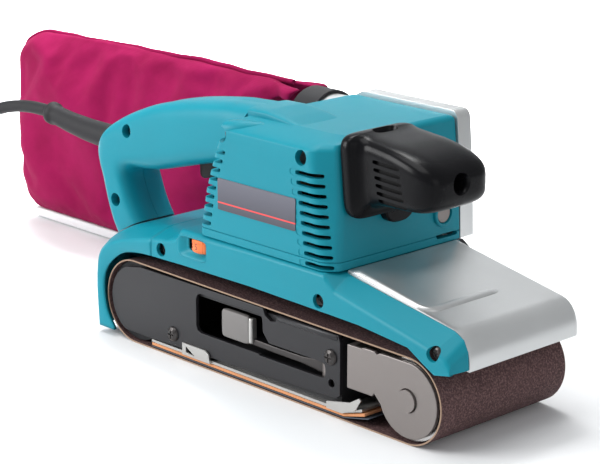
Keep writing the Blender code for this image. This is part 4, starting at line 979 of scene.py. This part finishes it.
hole = loft("grip_hole", [((x, -13.5, 136.4), (0, 1, 0), (0, 0, 1), r, r, 2)
                          for x, r in ((92, 4.9), (113.2, 5.2), (114.8, 5.6), (118, 8.2))])
louvres = pill_cutters("grip_slots", [(83.0 + 0.9 * k, -37.4, 144.0 - 4.1 * k) for k in range(6)], 10.5, 1.1,
                       (0, 1, 0), (1, 0, -0.02), (0.02, 0, 1), 3.4)
thumb_rest = loft("thumb_rest", [((59.5, -13.5, z), (1, 0, 0), (0, 1, 0), a, b, 3) for z, a, b in
                                 ((153.6, 3.2, 7.4), (160, 5.0, 10.4))])
carve(grip, hole, louvres, thumb_rest)
finish_piece(fair_normals(grip), "body", black_moulding, "black", "front_grip")

# ---- Speed dial: an orange wheel on edge in its recess, with moulded teeth and numbers.
orange_nylon = grained("orange_nylon", (0.86, 0.19, 0.045), 0.42, bump=0.2)
dial_print, _ = new_material("dial_print", (0.30, 0.045, 0.02), 0.5)
dial_turn = np.linspace(0, 2 * np.pi, 216, endpoint=False)
dial_teeth = 0.28 * (np.sin(36 * dial_turn) > 0)
DIAL_X, DIAL_Y, DIAL_MID_Z, DIAL_BAND_R = -51.0, -45.2, 74.3, 8.9
dial_rings = [np.stack([DIAL_X + (r - t * dial_teeth) * np.cos(dial_turn),
                        DIAL_Y + (r - t * dial_teeth) * np.sin(dial_turn), np.full(216, z)], 1)
              for r, z, t in ((2, 78.2, 0), (7.6, 78.2, 0), (8.6, 77.7, 1), (9.0, 77.0, 1), (9.0, 76.4, 1),
                              (8.9, 76.3, 0), (8.9, 72.2, 0), (9.0, 72.1, 1), (9.0, 71.5, 1), (8.6, 70.9, 1),
                              (7.6, 70.4, 0), (2, 70.4, 0))]
dial = surface("dial_wheel", dial_rings, wrap=True, caps=True)
finish_piece(dial, body_of["speed_dial"], orange_nylon, "orange", "speed_dial")
for number, bearing in zip("12345", (-128, -96, -64, -32, 0)):
    text = bpy.data.curves.new(f"dial_{number}", "FONT")
    text.body = number
    text.size = 5.4 * MM
    text.align_x = "CENTER"
    text.align_y = "CENTER"
    text.extrude = 0.05 * MM
    holder = bpy.data.objects.new(f"dial_{number}", text)
    scene.collection.objects.link(holder)
    bpy.context.view_layer.update()
    digit = bpy.data.meshes.new_from_object(holder.evaluated_get(bpy.context.evaluated_depsgraph_get()))
    bpy.data.objects.remove(holder, do_unlink=True)
    flat = np.empty(len(digit.vertices) * 3)
    digit.vertices.foreach_get("co", flat)
    flat = flat.reshape(-1, 3) / MM
    sweep = math.radians(bearing) + flat[:, 0] / 9.0
    radius = DIAL_BAND_R + flat[:, 2]
    curved = np.stack([DIAL_X + radius * np.sin(sweep), DIAL_Y - radius * np.cos(sweep),
                       DIAL_MID_Z + flat[:, 1]], 1)
    digit.vertices.foreach_set("co", (curved * MM).ravel())
    piece = bpy.data.objects.new(f"dial_number_{number}", digit)
    scene.collection.objects.link(piece)
    finish_piece(piece, body_of["speed_dial"], dial_print, "orange")


# ---- Dust bag: burgundy cotton sewn flat, gathered into a rubber collar on the spout and slid onto
# a white rail below.  It hangs half full: slack sides with long soft folds.
cloth, cloth_shader = new_material("bag_cotton", (0.24, 0.005, 0.055), 0.9, Specular_IOR_Level=0.12)
tree = cloth.node_tree
point = object_point(tree)
warp = tree.nodes.new("ShaderNodeTexWave")
warp.bands_direction = "X"
warp.inputs["Scale"].default_value = 420.0
weft = tree.nodes.new("ShaderNodeTexWave")
weft.bands_direction = "Z"
weft.inputs["Scale"].default_value = 420.0
for threads in (warp, weft):
    threads.inputs["Distortion"].default_value = 0.8
    tree.links.new(point, threads.inputs["Vector"])
woven = add_math(tree, "MULTIPLY", warp.outputs["Fac"], weft.outputs["Fac"])
faded = add_ramp(tree, add_noise(tree, point, 30.0, 4.0, 0.6), 0.3, 0.72)
dyed = add_mix(tree, faded, (0.205, 0.003, 0.044), (0.285, 0.006, 0.070))
tree.links.new(add_mix(tree, add_math(tree, "MULTIPLY", woven, 0.35), dyed, (0.33, 0.014, 0.092)),
               cloth_shader.inputs["Base Color"])
relief = tree.nodes.new("ShaderNodeBump")
relief.inputs["Strength"].default_value = 0.35
relief.inputs["Distance"].default_value = 0.0002
tree.links.new(woven, relief.inputs["Height"])
tree.links.new(relief.outputs["Normal"], cloth_shader.inputs["Normal"])

bag_mesh = frame["nodes"]["dust_bag"].data.copy()
cleaner = bmesh.new()
cleaner.from_mesh(bag_mesh)
bmesh.ops.remove_doubles(cleaner, verts=cleaner.verts, dist=2e-6)
cleaner.to_mesh(bag_mesh)
cleaner.free()
bag = bpy.data.objects.new("cloth_bag", bag_mesh)
scene.collection.objects.link(bag)
VOXEL = 5.0
remesh = bag.modifiers.new("even", "REMESH")
remesh.mode = "VOXEL"
remesh.voxel_size = VOXEL * MM
relax = bag.modifiers.new("relax", "SMOOTH")
relax.iterations = 4
bpy.context.view_layer.update()
bag.data = bpy.data.meshes.new_from_object(bag.evaluated_get(bpy.context.evaluated_depsgraph_get()))
bag.modifiers.clear()


def read_points(mesh):
    """A mesh's points in mm, as (count, 3)."""
    flat = np.empty(len(mesh.vertices) * 3)
    mesh.vertices.foreach_get("co", flat)
    return flat.reshape(-1, 3) / MM


BAG_Y = 82.0
bag_edge = evenly(rounded_line([(-97, 141), (-200, 143), (-376, 140), (-400, 127), (-397, 22), (-388, 8.5),
                                (-176, 8.5), (-165, 58), (-112, 98), (-97, 100)],
                               (8, 10, 12, 6, 8, 12, 18, 14)), 260)


def from_edge(points):
    """Distance of points in XZ from the bag's sewn edge."""
    gaps = points[:, None, [0, 2]] - bag_edge[None]
    return np.sqrt((gaps ** 2).sum(2)).min(1)


def folds(points):
    """Long soft folds: sums of sines whose crests run down from the neck and along the rail."""
    x, z = points[:, 0], points[:, 2]
    fan = np.arctan2(150 - z, -(x + 70))
    reach = np.hypot(150 - z, x + 70)
    neck = np.sin(fan * 19 + 0.6 * np.sin(reach / 31)) * np.exp(-((reach - 60) / 90) ** 2)
    hang = np.sin((x + 0.35 * z) / 13.5 + 1.2 * np.sin(z / 37)) * np.clip((70 - z) / 70, 0, 1)
    drape = np.sin((x * 0.45 + z) / 15.0 + 1.5 * np.sin(x / 61)) * np.exp(-((x + 330) / 70) ** 2)
    pucker = np.sin(x / 6.3 + 0.8 * np.sin(x / 23)) * np.exp(-((z - 138) / 9) ** 2)
    return 2.7 * neck + 3.4 * hang + 3.6 * drape + 1.1 * pucker


rest = read_points(bag.data)
edge_gap = from_edge(rest)
neck_hold = np.clip((rest[:, 0] + 135) / 30, 0, 1)
pillow = np.sqrt(1 - (1 - np.clip(edge_gap / 46, 0, 1)) ** 2)
pillow = np.maximum(0.16 + 0.76 * pillow, neck_hold)
shaped = rest.copy()
shaped[:, 1] = BAG_Y + (rest[:, 1] - BAG_Y) * pillow
side = np.sign(rest[:, 1] - BAG_Y)
fold_depth = np.where(side < 0, 1.0, -0.8) * np.clip(edge_gap / 12, 0, 1) * (1 - neck_hold)
shaped[:, 1] += folds(rest) * fold_depth
bag.data.vertices.foreach_set("co", (shaped * MM).ravel())
bag.data.update()
LAST_STEP, MOST_MOVE = 22, 6.0
held = bag.vertex_groups.new(name="held")
held_at = np.where((neck_hold > 0.6) | (edge_gap < 4.5))[0].tolist()
held.add(held_at, 1.0, "REPLACE")
puff = bag.modifiers.new("puff", "CLOTH")
puff.settings.vertex_group_mass = "held"
puff.settings.use_pressure = True
puff.settings.uniform_pressure_force = 3.0
puff.settings.effector_weights.gravity = 0.0
puff.settings.shrink_min = -0.045
puff.settings.tension_stiffness = 8.0
puff.settings.bending_stiffness = 0.35
puff.settings.quality = 6
puff.point_cache.frame_start = 1
puff.point_cache.frame_end = LAST_STEP
for step in range(1, LAST_STEP + 1):
    scene.frame_set(step)
blown = bpy.data.meshes.new_from_object(bag.evaluated_get(bpy.context.evaluated_depsgraph_get()))
moved = read_points(blown) - shaped
length = np.linalg.norm(moved, axis=1)
moved *= (np.minimum(length, MOST_MOVE) / np.maximum(length, 1e-9))[:, None]
bag.modifiers.clear()
bag.vertex_groups.clear()
bag.data.vertices.foreach_set("co", ((shaped + moved) * MM).ravel())
bag.data.update()
scene.frame_set(1)
bag.data.shade_smooth()
finer = bag.modifiers.new("finer", "SUBSURF")
finer.levels = finer.render_levels = 1
finish_piece(bag, body_of["dust_bag"], cloth, "cloth", "dust_bag")

# The edges are sewn over a narrow piping that wanders a little.
run = np.linspace(0, 1, 260)
wander = 1.1 * np.sin(run * 60) + 0.7 * np.sin(run * 143)
piping = np.stack([bag_edge[:, 0], BAG_Y + wander, bag_edge[:, 1] + 0.5], 1)
seam = curve_piece("bag_piping", piping[6:246], 1.7, 3)
finish_piece(seam, body_of["dust_bag"], cloth, "cloth")
softened("bag_collar", 0.5, matt_rubber, "rubber")
white_rail = grained("white_rail", (0.74, 0.75, 0.76), 0.45, bump=0.15)
softened("bag_rail", 0.5, white_rail, "white")
